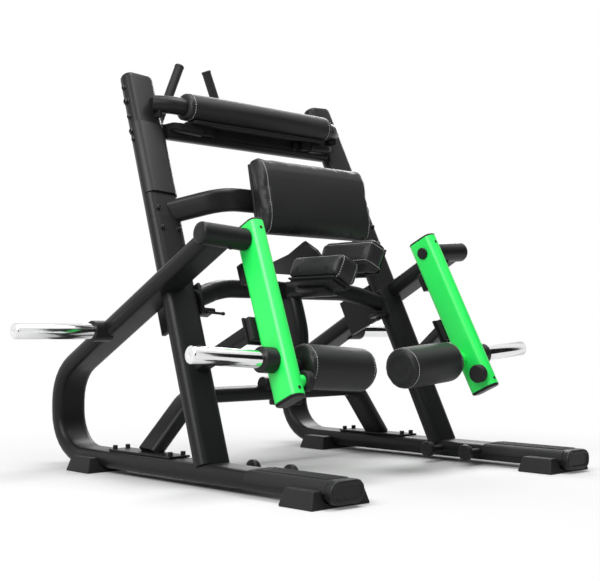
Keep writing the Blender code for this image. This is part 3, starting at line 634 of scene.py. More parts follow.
# ---- upholstery ---------------------------------------------------------------------------------------
@dataclass
class Cushion:
    """One stuffed piece: swelled by cloth simulation, then seamed and stitched.

    Attributes:
        node: The CAD node that it replaces.
        body: The body that it rides on.
        matrix: Its frame, whose x runs across the seams.
        seams: Where the seams are along that x.
        voxel: Size of the shell's facets.
        shrink: How far inside the CAD node the shell starts, or outside it below 0.
        cap: How far a point may move.
        rest: The direction of the board that it lies on, which it doesn't swell past.
        core: Radius of the bore round x, which keeps its size.
        core_still: How far round the bore the shell stays where it is.
        core_plain: How far round the bore no stitches are sewn.
        pressure: What the cloth is swelled with.
        smoothing: Rounds of smoothing after the swelling.
        groove: Depth of a seam.
        groove_wide: Width of a seam.
        stitch: Length, width and height of a stitch.
        stitch_gap: From one stitch to the next.
        stitch_in: From the seam to its stitches.
        stitch_lift: From the skin to a stitch's middle.
        shell: The shell while it is worked on.
        home: Where the shell's points start.
    """

    node: str
    body: str
    matrix: Matrix
    seams: tuple[float, ...]
    voxel: float
    shrink: float
    cap: float
    rest: Vector | None = None
    core: float = 0.0
    core_still: float = 0.006
    core_plain: float = 0.01
    pressure: float = 4.0
    smoothing: int = 3
    groove: float = 0.0022
    groove_wide: float = 0.0030
    stitch: Point = (0.0056, 0.0017, 0.0014)
    stitch_gap: float = 0.0086
    stitch_in: float = 0.0048
    stitch_lift: float = 0.0003
    fill: float = 0.85
    shell: bpy.types.Object | None = None
    home: list[Vector] = field(default_factory=list)

    def start(self) -> None:
        """Makes the shrunk, remeshed shell that the simulation swells."""
        bm = loose_copy(self.node)
        bm.normal_update()
        for vert in bm.verts:
            local = self.matrix.inverted() @ vert.co
            if self.rest and vert.normal.dot(self.rest) > 0.5 and self.shrink < 0:
                continue
            if not self.core or math.hypot(local.y, local.z) > self.core:
                vert.co -= vert.normal * self.shrink
        self.shell = linked("shell", mesh_from("shell", bm))
        remesh = self.shell.modifiers.new("remesh", "REMESH")
        remesh.mode, remesh.voxel_size = "VOXEL", self.voxel
        self.bake()
        self.home = [vert.co.copy() for vert in self.shell.data.vertices]

    def bake(self) -> None:
        """Puts the shell's evaluated mesh in place of its modifiers."""
        graph = bpy.context.evaluated_depsgraph_get()
        mesh = bpy.data.meshes.new_from_object(self.shell.evaluated_get(graph))
        self.shell.modifiers.clear()
        self.shell.data = mesh

    def inflate(self) -> None:
        """Adds the cloth that swells the shell."""
        cloth = self.shell.modifiers.new("cloth", "CLOTH")
        cloth.settings.use_pressure = True
        cloth.settings.uniform_pressure_force = self.pressure
        cloth.settings.effector_weights.gravity = 0.0

    def settle(self, simulated: bool) -> None:
        """Caps how far each point moved, frees the board side, and smooths the shell.

        Args:
            simulated: Whether the cloth ran; without it the points move out along their normals.
        """
        old = self.shell.data
        if simulated:
            self.bake()
        moved = [vert.co.copy() for vert in self.shell.data.vertices]
        if not simulated:
            moved = [vert.co + vert.normal * self.shrink for vert in old.vertices]
        inverse, room = self.matrix.inverted(), max(self.shrink, 0)
        for vert, home, new in zip(self.shell.data.vertices, self.home, moved):
            step = new - home
            if step.length > self.cap:
                step *= self.cap / step.length
            if self.rest and step.dot(self.rest) > room:
                step -= self.rest * (step.dot(self.rest) - room)
            local = inverse @ home
            if self.core and math.hypot(local.y, local.z) < self.core + self.core_still:
                step *= 0
            vert.co = home + step
        bm = bmesh.new()
        bm.from_mesh(self.shell.data)
        every = {"use_axis_x": True, "use_axis_y": True, "use_axis_z": True}
        for _ in range(self.smoothing):
            bmesh.ops.smooth_vert(bm, verts=bm.verts, factor=0.5, **every)
        bm.to_mesh(self.shell.data)
        bm.free()
        smooth = self.shell.modifiers.new("smooth", "SUBSURF")
        smooth.levels = smooth.render_levels = 1
        self.bake()

    def seam(self) -> None:
        """Pulls the leather in along each seam."""
        inverse = self.matrix.inverted()
        across = self.matrix.to_3x3() @ RIGHT
        points = self.shell.data.vertices
        skin = [(vert.co.copy(), vert.normal.copy()) for vert in points]
        for index, (place, normal) in enumerate(skin):
            local = inverse @ place
            for seam in self.seams:
                gap = (local.x - seam) / self.groove_wide
                if abs(gap) < 3:
                    inward = normal - across * normal.dot(across)
                    points[index].co = place - inward * self.groove * math.exp(-gap * gap)

    def section(self, place: float) -> list[list[Vector]]:
        """The closed lines in which a plane across the cushion meets its skin.

        Args:
            place: The plane's place along the cushion's x.

        Returns:
            Each line's points in order.
        """
        bm = bmesh.new()
        bm.from_mesh(self.shell.data)
        origin, across = self.matrix @ Vector((place, 0, 0)), self.matrix.to_3x3() @ RIGHT
        geom = [*bm.verts, *bm.edges, *bm.faces]
        cut = bmesh.ops.bisect_plane(bm, geom=geom, dist=1e-6, plane_co=origin, plane_no=across)["geom_cut"]
        edges = dict.fromkeys(item for item in cut if isinstance(item, bmesh.types.BMEdge))
        lines = []
        while edges:
            edge = next(iter(edges))
            del edges[edge]
            line, vert = [edge.verts[0].co.copy()], edge.verts[1]
            while edge:
                line.append(vert.co.copy())
                edge = next((item for item in vert.link_edges if item in edges), None)
                if edge:
                    del edges[edge]
                    vert = edge.other_vert(vert)
            lines.append(line)
        bm.free()
        return [line for line in lines if len(line) > 8]

    def sew_all(self, shop: Workshop, name: str) -> None:
        """Sews a row of short stitches beside each seam.

        Args:
            shop: Where pieces are made.
            name: The name of the stitches' piece.
        """
        skin = bmesh.new()
        skin.from_mesh(self.shell.data)
        tree = BVHTree.FromBMesh(skin)
        places: list[Matrix] = []
        for seam in self.seams:
            inside = seam - math.copysign(self.stitch_in, seam)
            for line in self.section(inside):
                middle = sum(line, Vector()) / len(line)
                if self.core and max((p - middle).length for p in line) < self.core + self.core_plain:
                    continue
                self.sew(places, tree, line)
        skin.free()
        bm = bmesh.new()
        for place in places:
            bmesh.ops.create_icosphere(bm, subdivisions=1, radius=0.5, matrix=place)
        shop.piece(name, bm, Slot.LEATHER, self.body, shop.finishes.thread, 60)

    def sew(self, places: list[Matrix], tree: BVHTree, line: list[Vector]) -> None:
        """Stitches along one line.

        Args:
            places: Where each stitch's frame goes.
            tree: The skin that they lie on.
            line: The line's points in order.
        """
        due = 0.0
        for first, second in zip(line, line[1:]):
            length = (second - first).length
            while due < length:
                at = first.lerp(second, due / length)
                hit, normal, _, _ = tree.find_nearest(at)
                along = (second - first).normalized()
                side = normal.cross(along).normalized()
                place = axes(hit + normal * self.stitch_lift, along, side, normal)
                places.append(place @ Matrix.Diagonal((*self.stitch, 1)))
                due += self.stitch_gap
            due -= length

    def finish(self, shop: Workshop) -> None:
        """Makes the cushion its CAD node's replacement.

        Args:
            shop: Where pieces are made.
        """
        self.seam()
        bm = bmesh.new()
        bm.from_mesh(self.shell.data)
        made = shop.piece(f"{self.node}_leather", bm, Slot.LEATHER, self.body, None, 180)
        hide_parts(self.node)
        self.sew_all(shop, f"{self.node}_stitches")
        bpy.data.objects.remove(self.shell)


@dataclass
class Upholstery:
    """All the cushions: hip pad, elbow roll, knee pads and ankle rollers."""

    frames: int = 20
    hip_seam: float = 0.228
    elbow_seam: float = 0.314
    seam_in: float = 0.013
    roller_seam_in: float = 0.011
    roller_core: float = 0.030

    def cushions(self) -> list[Cushion]:
        """Lists the cushions.

        Returns:
            The cushions, each with the frame whose x runs across its seams.
        """
        lean = Matrix.Translation(HIP_BACK) @ Matrix.Rotation(-HIP_LEAN, 4, "X")
        made = [
            Cushion(
                "hip_pad", "frame", lean, (-self.hip_seam, self.hip_seam),
                voxel=0.0050, shrink=0.003, cap=0.008, rest=lean.to_3x3() @ BACK,
            ),
            Cushion(
                "elbow_pad", "frame", Matrix.Translation((0, ELBOW_Y, ELBOW_Z)),
                (-self.elbow_seam, self.elbow_seam),
                voxel=0.0045, shrink=0.002, cap=0.005, rest=Vector((0, 0, -1)),
            ),
        ]
        half = KNEE_WIDE / 2 - self.seam_in
        ends = (ROLLER_FAR - ROLLER_NEAR) / 2 - self.roller_seam_in
        for side in Side:
            pad = V_AXIS @ side.place(V_PAD @ quarter("Z"))
            below = pad.to_3x3() @ Vector((0, 0, -1))
            made.append(
                Cushion(
                    f"knee_pad_{side.word}", "frame", pad, (-half, half),
                    voxel=0.0040, shrink=-0.002, cap=0.005, rest=below,
                )
            )
            middle = shift(AXLE, ROLLER_E, ROLLER_L, (ROLLER_NEAR + ROLLER_FAR) / 2)
            made.append(
                Cushion(
                    f"ankle_roller_{side.word}", f"{side.word}_roller",
                    side.place(middle) @ quarter("Y", -1), (-ends, ends),
                    voxel=0.0045, shrink=0.0015, cap=0.003, core=self.roller_core,
                )
            )
        return made

    def build(self, shop: Workshop) -> None:
        """Swells, seams and stitches the cushions.

        Args:
            shop: Where pieces are made.
        """
        cushions = self.cushions()
        for cushion in cushions:
            cushion.start()
        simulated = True
        if simulated:
            for cushion in cushions:
                cushion.inflate()
            for step in range(1, self.frames + 1):
                bpy.context.scene.frame_set(step)
        for cushion in cushions:
            cushion.settle(simulated)
        if simulated:
            bpy.context.scene.frame_set(1)
        for cushion in cushions:
            cushion.finish(shop)


# ---- steel work and fittings --------------------------------------------------------------------------
@dataclass
class SteelWork:
    """Welded parts between the CAD's tubes: centre column, its foot and cross tube, and the elbow rest's."""

    column: tuple[Point, ...] = (
        (0, 0.118, 0.575), (0, 0.092, 0.505), (0, 0.074, 0.430),
        (0, 0.082, 0.350), (0, 0.118, 0.285), (0, 0.160, 0.250),
    )
    column_size: tuple[float, float, float] = (0.050, 0.092, 0.022)
    cross_at: Point = (0.0965, 0.140, 0.273)  # half its length, then its y and z
    cross_r: float = 0.025
    cross_edge: float = 0.003
    foot_size: Point = (0.094, 0.070, 0.046)
    foot_at: Point = (0.020, 0.150, 0.222)
    bracket: tuple[Point, ...] = (
        (0.412, 0.322, 1.197), (0.392, 0.305, 1.196), (0.366, 0.285, 1.194),
        (0.345, 0.276, 1.192), (0.328, 0.273, 1.191),
    )
    bracket_r: float = 0.029
    ear_size: Point = (0.012, 0.060, 0.072)
    ear_at: Point = (0.404, 0.322, 1.186)
    apron_size: Point = (0.700, 0.010, 0.034)
    apron_at: Point = (0, 0.297, 1.124)

    def build(self, shop: Workshop) -> None:
        """Makes the pieces.

        Args:
            shop: Where pieces are made.
        """
        bm = bmesh.new()
        tube(bm, rounded(*self.column_size), curve_through(self.column), RIGHT)
        shop.piece("centre_column", bm, Slot.FRAME)
        bm = bmesh.new()
        x, y, z = self.cross_at
        r, edge = self.cross_r, self.cross_edge
        outline = [(0, -x), (r - edge, -x), (r, -x + edge), (r, x - edge), (r - edge, x), (0, x)]
        disc_profile(bm, outline, Matrix.Translation((0, y, z)) @ quarter("Y"), 32)
        shop.piece("column_cross_tube", bm, Slot.FRAME)
        bm = bmesh.new()
        slab(bm, self.foot_size, Matrix.Translation(self.foot_at), 0.006, 3)
        shop.piece("column_foot", bm, Slot.FRAME)
        section = rounded(2 * self.bracket_r, 2 * self.bracket_r, self.bracket_r - 0.001, 8)
        for side in Side:
            path = [side.place(Matrix.Translation(point)).translation for point in self.bracket]
            bm = bmesh.new()
            tube(bm, section, curve_through(path), UP)
            slab(bm, self.ear_size, side.place(Matrix.Translation(self.ear_at)), 0.003)
            shop.piece(f"elbow_bracket_{side.word}", bm, Slot.FRAME)
        bm = bmesh.new()
        slab(bm, self.apron_size, Matrix.Translation(self.apron_at), 0.002, 2)
        shop.piece("elbow_apron", bm, Slot.FRAME)


def plate(bm: bmesh.types.BMesh, outline: Outline, half: float, matrix: Matrix, bevel: float) -> None:
    """A flat plate of that outline in the frame's y-z plane.

    Args:
        bm: Where the plate goes.
        outline: Its corners as (y, z).
        half: Half its thickness.
        matrix: The frame.
        bevel: Width of the rounding on its edges.
    """
    corners = [bm.verts.new(matrix @ Vector((-half, y, z))) for y, z in outline]
    face = bm.faces.new(corners)
    made = bmesh.ops.extrude_face_region(bm, geom=[face])["geom"]
    moved = [item for item in made if isinstance(item, bmesh.types.BMVert)]
    bmesh.ops.translate(bm, verts=moved, vec=matrix.to_3x3() @ Vector((2 * half, 0, 0)))
    edges = list(dict.fromkeys(edge for vert in corners + moved for edge in vert.link_edges))
    bmesh.ops.bevel(bm, geom=edges, offset=bevel, segments=2, affect="EDGES", profile=0.5, material=-1)


@dataclass
class KneeFrame:
    """What carries the knee pads: bent cross tube, spar and fin, and the layered shells behind the pads."""

    tube_z: float = 0.548
    tube_size: tuple[float, float, float] = (0.060, 0.056, 0.020)
    bend: Point = (0.300, 0.118, 0.586)
    level: Point = (0.20, 0.118, 0.588)
    spar_front: float = -0.138
    spar_size: tuple[float, float, float] = (0.074, 0.060, 0.028)
    fin_outline: tuple[tuple[float, float], ...] = (
        (-0.140, 0.010), (-0.110, 0.060), (-0.071, 0.127), (-0.025, 0.160), (0.065, 0.120),
        (0.150, 0.098), (0.150, 0.055), (0.040, 0.045), (0.000, 0.010),
    )
    fin_half: float = 0.006
    yoke_size: Point = (0.200, 0.010, 0.040)
    shell: tuple[float, float, float] = (0.006, 0.003, 0.006)  # upper layer, groove, lower layer
    bracket_size: Point = (0.130, 0.046, 0.014)
    flange_size: Point = (0.010, 0.062, 0.100)
    shelf_size: Point = (0.050, 0.046, 0.012)
    flange_bolts: tuple[tuple[float, float], ...] = (
        (-0.022, 0.040), (0.022, 0.040), (-0.022, -0.040), (0.022, -0.040),
    )

    def build(self, shop: Workshop) -> None:
        """Makes the pieces.

        Args:
            shop: Where pieces are made.
        """
        tubes = self.tubes(shop)
        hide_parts("knee_carrier")
        self.fin(shop)
        for side in Side:
            self.shells(shop, side)
            self.flange(shop, side)

    def foot(self, gap: float) -> Vector:
        """Where the cross tube meets the right post, that far short of its middle."""
        return POST_BASE + POST_UP * up_post(self.tube_z) - Vector((gap, 0, 0))

    def on_spar(self, *places: tuple[float, float]) -> list[Vector]:
        """Points in the machine's middle plane, given as y and the rise above the spar's own height."""
        return [Vector((0, y, SPAR_Z + rise)) for y, rise in places]

    def tubes(self, shop: Workshop) -> bpy.types.Object:
        """The cross tube and the spar that runs forward from it, with the spar's end cap.

        Args:
            shop: Where pieces are made.

        Returns:
            The two tubes as one piece.
        """
        out, bend, level = self.foot(0.050), Vector(self.bend), Vector(self.level)
        inner = bend - Vector((0.030, 0, -0.001))
        corner = curve_through([out.lerp(bend, 0.55), out.lerp(bend, 0.75), inner, level], 5)
        half = [out, *corner, Vector((0.05, level.y, level.z))]
        mirror, tip = Vector((-1, 1, 1)), self.spar_front
        bm = bmesh.new()
        tube(bm, rounded(*self.tube_size), half + [point * mirror for point in reversed(half)], UP)
        spar = self.on_spar((0.110, -0.006), (-0.02, -0.002), (tip + 0.004, 0))
        tube(bm, rounded(*self.spar_size, 8), spar, RIGHT)
        made = shop.piece("knee_tubes", bm, Slot.FRAME)
        bm = bmesh.new()
        end = self.on_spar((tip + 0.0045, 0), (tip + 0.001, 0), (tip - 0.0005, 0))
        tube(bm, rounded(0.077, 0.063, 0.0295, 8), end[:2], RIGHT)
        tube(bm, rounded(0.062, 0.048, 0.0235, 8), end[1:], RIGHT)
        shop.piece("spar_cap", bm, Slot.PLASTIC)
        return made

    def fin(self, shop: Workshop) -> None:
        """The upright plate between the pads, and the yoke at their rear.

        Args:
            shop: Where pieces are made.
        """
        bm = bmesh.new()
        plate(bm, [(y - KNEE_MID_Y, z) for y, z in self.fin_outline], self.fin_half, V_AXIS, 0.0015)
        slab(bm, self.yoke_size, shift(V_AXIS, 0, KNEE_LONG / 2 + 0.004, 0.064), 0.002)
        shop.piece("knee_fin_plate", bm, Slot.FRAME)

    def shells(self, shop: Workshop, side: Side) -> None:
        """Two dark layers behind one pad, and the bracket that joins them to the fin.

        Args:
            shop: Where pieces are made.
            side: Which pad they are behind.
        """
        upper, groove, lower = self.shell
        pad = V_AXIS @ side.place(V_PAD)
        back = -KNEE_THICK - 0.006
        bm = bmesh.new()
        size = (KNEE_LONG - 0.008, KNEE_WIDE - 0.010, upper)
        slab(bm, size, shift(pad, 0.002, 0, back - upper / 2 - 0.0004), 0.0022, 3)
        size = (KNEE_LONG - 0.026, KNEE_WIDE - 0.026, groove)
        slab(bm, size, shift(pad, 0.006, 0, back - upper - groove / 2), 0.001, 1)
        size = (KNEE_LONG - 0.022, KNEE_WIDE - 0.022, lower)
        slab(bm, size, shift(pad, 0.006, 0.002, back - upper - groove - lower / 2), 0.0035, 3)
        made = shop.piece(f"knee_shell_{side.word}", bm, Slot.BOARD)
        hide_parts(f"knee_board_{side.word}")
        bm = bmesh.new()
        low = back - upper - groove - lower
        slab(bm, self.bracket_size, shift(pad, 0.036, 0.020, low - 0.006), 0.002)
        shop.piece(f"knee_bracket_{side.word}", bm, Slot.FRAME)

    def flange(self, shop: Workshop, side: Side) -> None:
        """The flange that bolts the cross tube to a post, with its bolts and a short pin below.

        Args:
            shop: Where pieces are made.
            side: Which post it is on.
        """
        at = shift(POST, -TUBE_WIDE / 2 - 0.0053, 0, up_post(self.tube_z))
        bm = bmesh.new()
        slab(bm, self.flange_size, side.place(at), 0.002)
        slab(bm, self.shelf_size, side.place(shift(at, -0.026, 0, -0.036)), 0.002)
        shop.piece(f"carrier_flange_{side.word}", bm, Slot.FRAME)
        bm = bmesh.new()
        inward = quarter("Y", -1)
        for y, z in self.flange_bolts:
            Bolt(0.0062, 0.0045, 0.0088).add(bm, side.place(shift(at, -0.005, y, z) @ inward))
        shank = [(0, -0.03), (0.0042, -0.03), (0.0042, 0.030)]
        head = [(0.0056, 0.031), (0.0056, 0.038), (0.0042, 0.040), (0, 0.040)]
        disc_profile(bm, shank + head, side.place(shift(at, -0.046, -0.020, -0.045) @ inward), 16)
        shop.piece(f"carrier_bolts_{side.word}", bm, Slot.FRAME, "frame", shop.finishes.steel, 30)


@dataclass
class Bolt:
    """A hexagon bolt with its washer: radius and height of the head, and radius of the washer."""

    head: float = 0.0095
    tall: float = 0.0065
    washer: float = 0.0135
    thick: float = 0.002
    edge: float = 0.0004

    def add(self, bm: bmesh.types.BMesh, at: Matrix) -> None:
        """Puts a bolt in a mesh.

        Args:
            bm: Where the bolt goes.
            at: A frame whose z leaves the surface.
        """
        wide, thick, r = self.washer, self.thick, self.head
        washer = [(0, -0.001), (wide, -0.001), (wide, thick - self.edge)]
        washer += [(wide - self.edge, thick), (0, thick)]
        disc_profile(bm, washer, at, 20)
        top = thick + self.tall
        head = [(0, thick), (r, thick), (r, top - 0.0012), (r - 0.0016, top), (r * 0.55, top)]
        head += [(r * 0.45, top - 0.003), (0, top - 0.003)]
        disc_profile(bm, head, at, 6)


@dataclass
class Fittings:
    """Bolts, grips, tread ribs, placard cover, horns and the other small pieces."""

    handle_top: Point = (0.062, 0.643, 1.434)
    handle_bend: Point = (0.170, 0.640, 1.180)
    grip_long: float = 0.150
    grip_ribs: int = 17
    ribs_from: float = 0.009
    ribs_long: float = 0.130
    tread_ribs: int = 7
    tread_pitch: float = 0.011
    tread_size: Point = (0.0056, 0.284, 0.0032)
    edge_bolts: tuple[float, ...] = (1.199, 1.094)
    edge_screws: tuple[float, ...] = (1.066, 1.248, 1.145)
    face_screws: tuple[tuple[float, float], ...] = (
        (-0.030, 0.905), (0.022, 0.897), (-0.033, 0.832), (0.033, 0.826), (-0.030, 0.762), (0.030, 0.762),
    )
    cover_heights: tuple[float, float] = (0.880, 1.118)
    cover_bulge: float = 0.005
    stop_size: Point = (0.056, 0.0200, 0.074)
    stop_at: Point = (-0.010, 0.0608, 0.264)
    backing_size: Point = (0.064, 0.008, 0.084)
    backing_at: Point = (-0.010, 0.0762, 0.264)
    lug_size: Point = (0.030, 0.026, 0.062)
    lug_at: Point = (-0.006, 0.0610, 0.082)
    peg_places: tuple[tuple[str, float], ...] = (("front", -0.326), ("rear", -0.163))
    peg_z: float = 0.0455
    weight_horn: tuple[float, float] = (0.0600, 0.312)  # from where to where along its axis
    storage_horn: tuple[float, float] = (0.6050, 0.890)

    def build(self, shop: Workshop) -> None:
        """Makes the fittings of both sides.

        Args:
            shop: Where pieces are made.
        """
        for side in Side:
            self.grip(shop, side)
            self.tread(shop, side)
            self.bolts(shop, side)
            self.arm_screws(shop, side)
            self.cap_recess(shop, side)
            self.stop_block(shop, side)
            self.pegs(shop, side)
            self.horns(shop, side)
        self.cover(shop)

    def grip(self, shop: Workshop, side: Side) -> None:
        """A ribbed rubber grip with a ring at its end.

        Args:
            shop: Where pieces are made.
            side: Which handle it is on.
        """
        top, bend = Vector(self.handle_top), Vector(self.handle_bend)
        up = (top - bend).normalized()
        across = BACK.cross(up).normalized()
        at = side.place(axes(top - up * self.grip_long, across, up.cross(across), up))
        outline = [(0.0143, 0.0), (0.0168, 0.0), (0.0178, 0.002), (0.0178, 0.006), (0.0168, 0.008)]
        pitch = self.ribs_long / self.grip_ribs
        for rib in range(self.grip_ribs):
            low = self.ribs_from + rib * pitch
            outline += [(0.0164, low), (0.0174, low + pitch * 0.25)]
            outline += [(0.0174, low + pitch * 0.65), (0.0164, low + pitch * 0.9)]
        outline += [(0.0176, 0.141), (0.0180, 0.143), (0.0180, 0.148), (0.0168, 0.150), (0.0125, 0.150)]
        outline += [(0.0115, 0.1475), (0, 0.1475), (0, 0.1466), (0.0143, 0.1466), (0.0143, 0.0)]
        bm = bmesh.new()
        disc_profile(bm, outline, at, 40)
        made = shop.piece(f"grip_ribbed_{side.word}", bm, Slot.RUBBER, angle=50)
        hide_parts(f"handle_grip_{side.word}")

    def tread(self, shop: Workshop, side: Side) -> None:
        """Raised ribs along the tread at the rail's front.

        Args:
            shop: Where pieces are made.
            side: Which rail it is on.
        """
        bm = bmesh.new()
        top = RAIL_Z + TUBE_THIN / 2 + 0.0038
        for row in range(self.tread_ribs):
            x = RAIL_X - 0.033 + row * self.tread_pitch
            slab(bm, self.tread_size, side.place(Matrix.Translation((x, -0.500, top))), 0.0007, 1)
        shop.piece(f"tread_ribs_{side.word}", bm, Slot.RUBBER)

    def cap_recess(self, shop: Workshop, side: Side) -> None:
        """The raised rim round the rail cap's face.

        Args:
            shop: Where pieces are made.
            side: Which rail it is on.
        """
        bm = bmesh.new()
        face = RAIL_FRONT_Y - 0.0255
        outer = rounded(TUBE_WIDE - 0.001, TUBE_THIN - 0.001, 0.0225, 8)
        inner = rounded(TUBE_WIDE - 0.013, TUBE_THIN - 0.013, 0.0165, 8)
        loops = []
        for outline, y in ((outer, face + 0.004), (outer, face), (inner, face), (inner, face + 0.004)):
            places = [Matrix.Translation((RAIL_X + a, y, RAIL_Z + b)) for a, b in outline]
            loops.append(loop(bm, [side.place(place).translation for place in places]))
        for first, second in zip(loops, loops[1:] + loops[:1]):
            bmesh.ops.bridge_loops(bm, edges=first + second)
        shop.piece(f"rail_cap_rim_{side.word}", bm, Slot.PLASTIC)

    def bolts(self, shop: Workshop, side: Side) -> None:
        """The bolts of the post's joints and the one below the housing.

        Args:
            shop: Where pieces are made.
            side: Which side they are on.
        """
        bm = bmesh.new()
        bolt, small = Bolt(), Bolt(0.0070, 0.0050, 0.0100)
        edge = [(z, bolt) for z in self.edge_bolts] + [(z, small) for z in self.edge_screws]
        for z, kind in edge:
            kind.add(bm, side.place(shift(POST, TUBE_WIDE / 2, 0, up_post(z)) @ quarter("Y")))
        for x, z in self.face_screws:
            small.add(bm, side.place(shift(POST, x, -TUBE_THIN / 2, up_post(z)) @ quarter("X")))
        shop.piece(f"post_bolts_{side.word}", bm, Slot.FRAME, "frame", shop.finishes.steel, 30)

        bm = bmesh.new()
        low = side.place(shift(AXLE, 0.0, 0.0335, -0.090) @ quarter("X", -1))
        Bolt(0.0060, 0.0045, 0.0085).add(bm, low)
        shop.piece(f"housing_bolt_{side.word}", bm, Slot.FRAME, "frame", shop.finishes.steel, 30)

    def arm_screws(self, shop: Workshop, side: Side) -> None:
        """Two countersunk screws on each swing arm's front edge, the lug behind it and the pin's cap.

        Args:
            shop: Where pieces are made.
            side: Which arm they are on.
        """
        bm = bmesh.new()
        screw = [(0, -0.001), (0.0052, -0.001), (0.0052, 0.0008)]
        screw += [(0.0040, 0.0014), (0.0022, 0.0004), (0, 0.0004)]
        for low in (-0.020, 0.490):
            disc_profile(bm, screw, side.place(shift(ARM, 0.0, -0.0500, low) @ quarter("X")), 20)
        shop.piece(f"arm_screws_{side.word}", bm, Slot.FRAME, f"{side.word}_arm", shop.finishes.steel, 30)
        bm = bmesh.new()
        slab(bm, self.lug_size, side.place(shift(ARM, *self.lug_at)), 0.003)
        shop.piece(f"arm_lug_{side.word}", bm, Slot.FRAME, f"{side.word}_arm")
        bm = bmesh.new()
        cap = [(0, 0.0315), (0.0195, 0.0315), (0.0195, 0.0330)]
        cap += [(0.0185, 0.0345), (0.010, 0.0352), (0, 0.0352)]
        disc_profile(bm, cap, side.place(AXLE), 36)
        shop.piece(f"pin_cover_{side.word}", bm, Slot.PLASTIC, f"{side.word}_arm", None, 30)

    def cover(self, shop: Workshop) -> None:
        """The bare curved cover on the left upright.

        Args:
            shop: Where pieces are made.
        """
        low, high = (up_post(height) for height in self.cover_heights)
        half, inside = TUBE_WIDE / 2, -0.006
        outer = rounded(TUBE_WIDE + 0.007, TUBE_THIN + 0.007, 0.0275, 8)
        inner = rounded(TUBE_WIDE + 0.0006, TUBE_THIN + 0.0006, 0.0243, 8)
        front = [(a, b - self.cover_bulge * max(0.0, 1 - (a / half) ** 2)) for a, b in outer if b < inside]
        back = [(a, b) for a, b in inner if b < inside]
        front.sort(key=lambda point: point[0])
        back.sort(key=lambda point: -point[0])
        across = Side.LEFT.place(POST)
        line = [across @ Vector((0, 0, h)) for h in (low, low + 0.0015, high - 0.0015, high)]
        bm = bmesh.new()
        tube(bm, [(a, -b) for a, b in front + back], line, across.to_3x3() @ RIGHT)
        made = shop.piece("placard_cover", bm, Slot.PLASTIC, angle=40)
        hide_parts("placard")

    def stop_block(self, shop: Workshop, side: Side) -> None:
        """The rubber block that the arm rests on, on its steel plate.

        Args:
            shop: Where pieces are made.
            side: Which side it is on.
        """
        bm = bmesh.new()
        slab(bm, self.stop_size, side.place(shift(ARM, *self.stop_at)), 0.004, 3)
        made = shop.piece(f"stop_block_{side.word}", bm, Slot.RUBBER)
        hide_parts(f"stop_rubber_{side.word}")
        bm = bmesh.new()
        slab(bm, self.backing_size, side.place(shift(ARM, *self.backing_at)), 0.002)
        shop.piece(f"stop_backing_{side.word}", bm, Slot.FRAME)

    def pegs(self, shop: Workshop, side: Side) -> None:
        """The two band pegs on the rail's inner face, with wide round heads.

        Args:
            shop: Where pieces are made.
            side: Which rail they are on.
        """
        outline = [(0, 0), (0.0095, 0), (0.0095, 0.0590), (0.0230, 0.0600), (0.0262, 0.0625)]
        outline += [(0.0270, 0.0660), (0.0262, 0.0770), (0.0240, 0.0800), (0.0120, 0.0806)]
        outline += [(0.0112, 0.0796), (0, 0.0796)]
        for end, y in self.peg_places:
            place = Vector((RAIL_X - TUBE_WIDE / 2 - 0.0003, y, self.peg_z))
            at = axes(place, BACK, Vector((0, 0, -1)), Vector((-1, 0, 0)))
            bm = bmesh.new()
            disc_profile(bm, outline, side.place(at), 40)
            made = shop.piece(f"peg_{end}_{side.word}", bm, Slot.PLASTIC, angle=50)
            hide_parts(f"band_peg_{end}_{side.word}")

    def horns(self, shop: Workshop, side: Side) -> None:
        """The weight horn on the arm and the storage horn on the frame, each with a satin end plug.

        Args:
            shop: Where pieces are made.
            side: Which side they are on.
        """
        arm = side.place(shift(AXLE, HORN_E, HORN_L)) @ quarter("X", 2)
        store = side.place(axes(Vector((0, STORE_Y, STORE_Z)), BACK, UP, RIGHT))
        r = HORN_R
        for name, at, (low, high), body in (
            ("weight_horn", arm, self.weight_horn, f"{side.word}_arm"),
            ("storage_horn", store, self.storage_horn, "frame"),
        ):
            bm = bmesh.new()
            face = high - 0.0008
            sleeve = [(0, low), (r, low), (r, high - 0.004), (r - 0.0005, high - 0.003), (r - 0.003, face)]
            disc_profile(bm, [*sleeve, (0, face)], at, 96)
            made = shop.piece(f"{name}_sleeve_{side.word}", bm, Slot.CHROME, body, angle=60)
            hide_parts(f"{name}_{side.word}")
            bm = bmesh.new()
            plug = [(0, high - 0.002), (r - 0.0035, high - 0.002), (r - 0.0035, high - 0.0006)]
            plug += [(r - 0.0045, high), (0.0070, high), (0.0062, high - 0.0010)]
            plug += [(0.0036, high - 0.0010), (0.0030, high - 0.0016), (0, high - 0.0016)]
            disc_profile(bm, plug, at, 64)
            shop.piece(f"{name}_plug_{side.word}", bm, Slot.CHROME, body, shop.finishes.satin, 30)


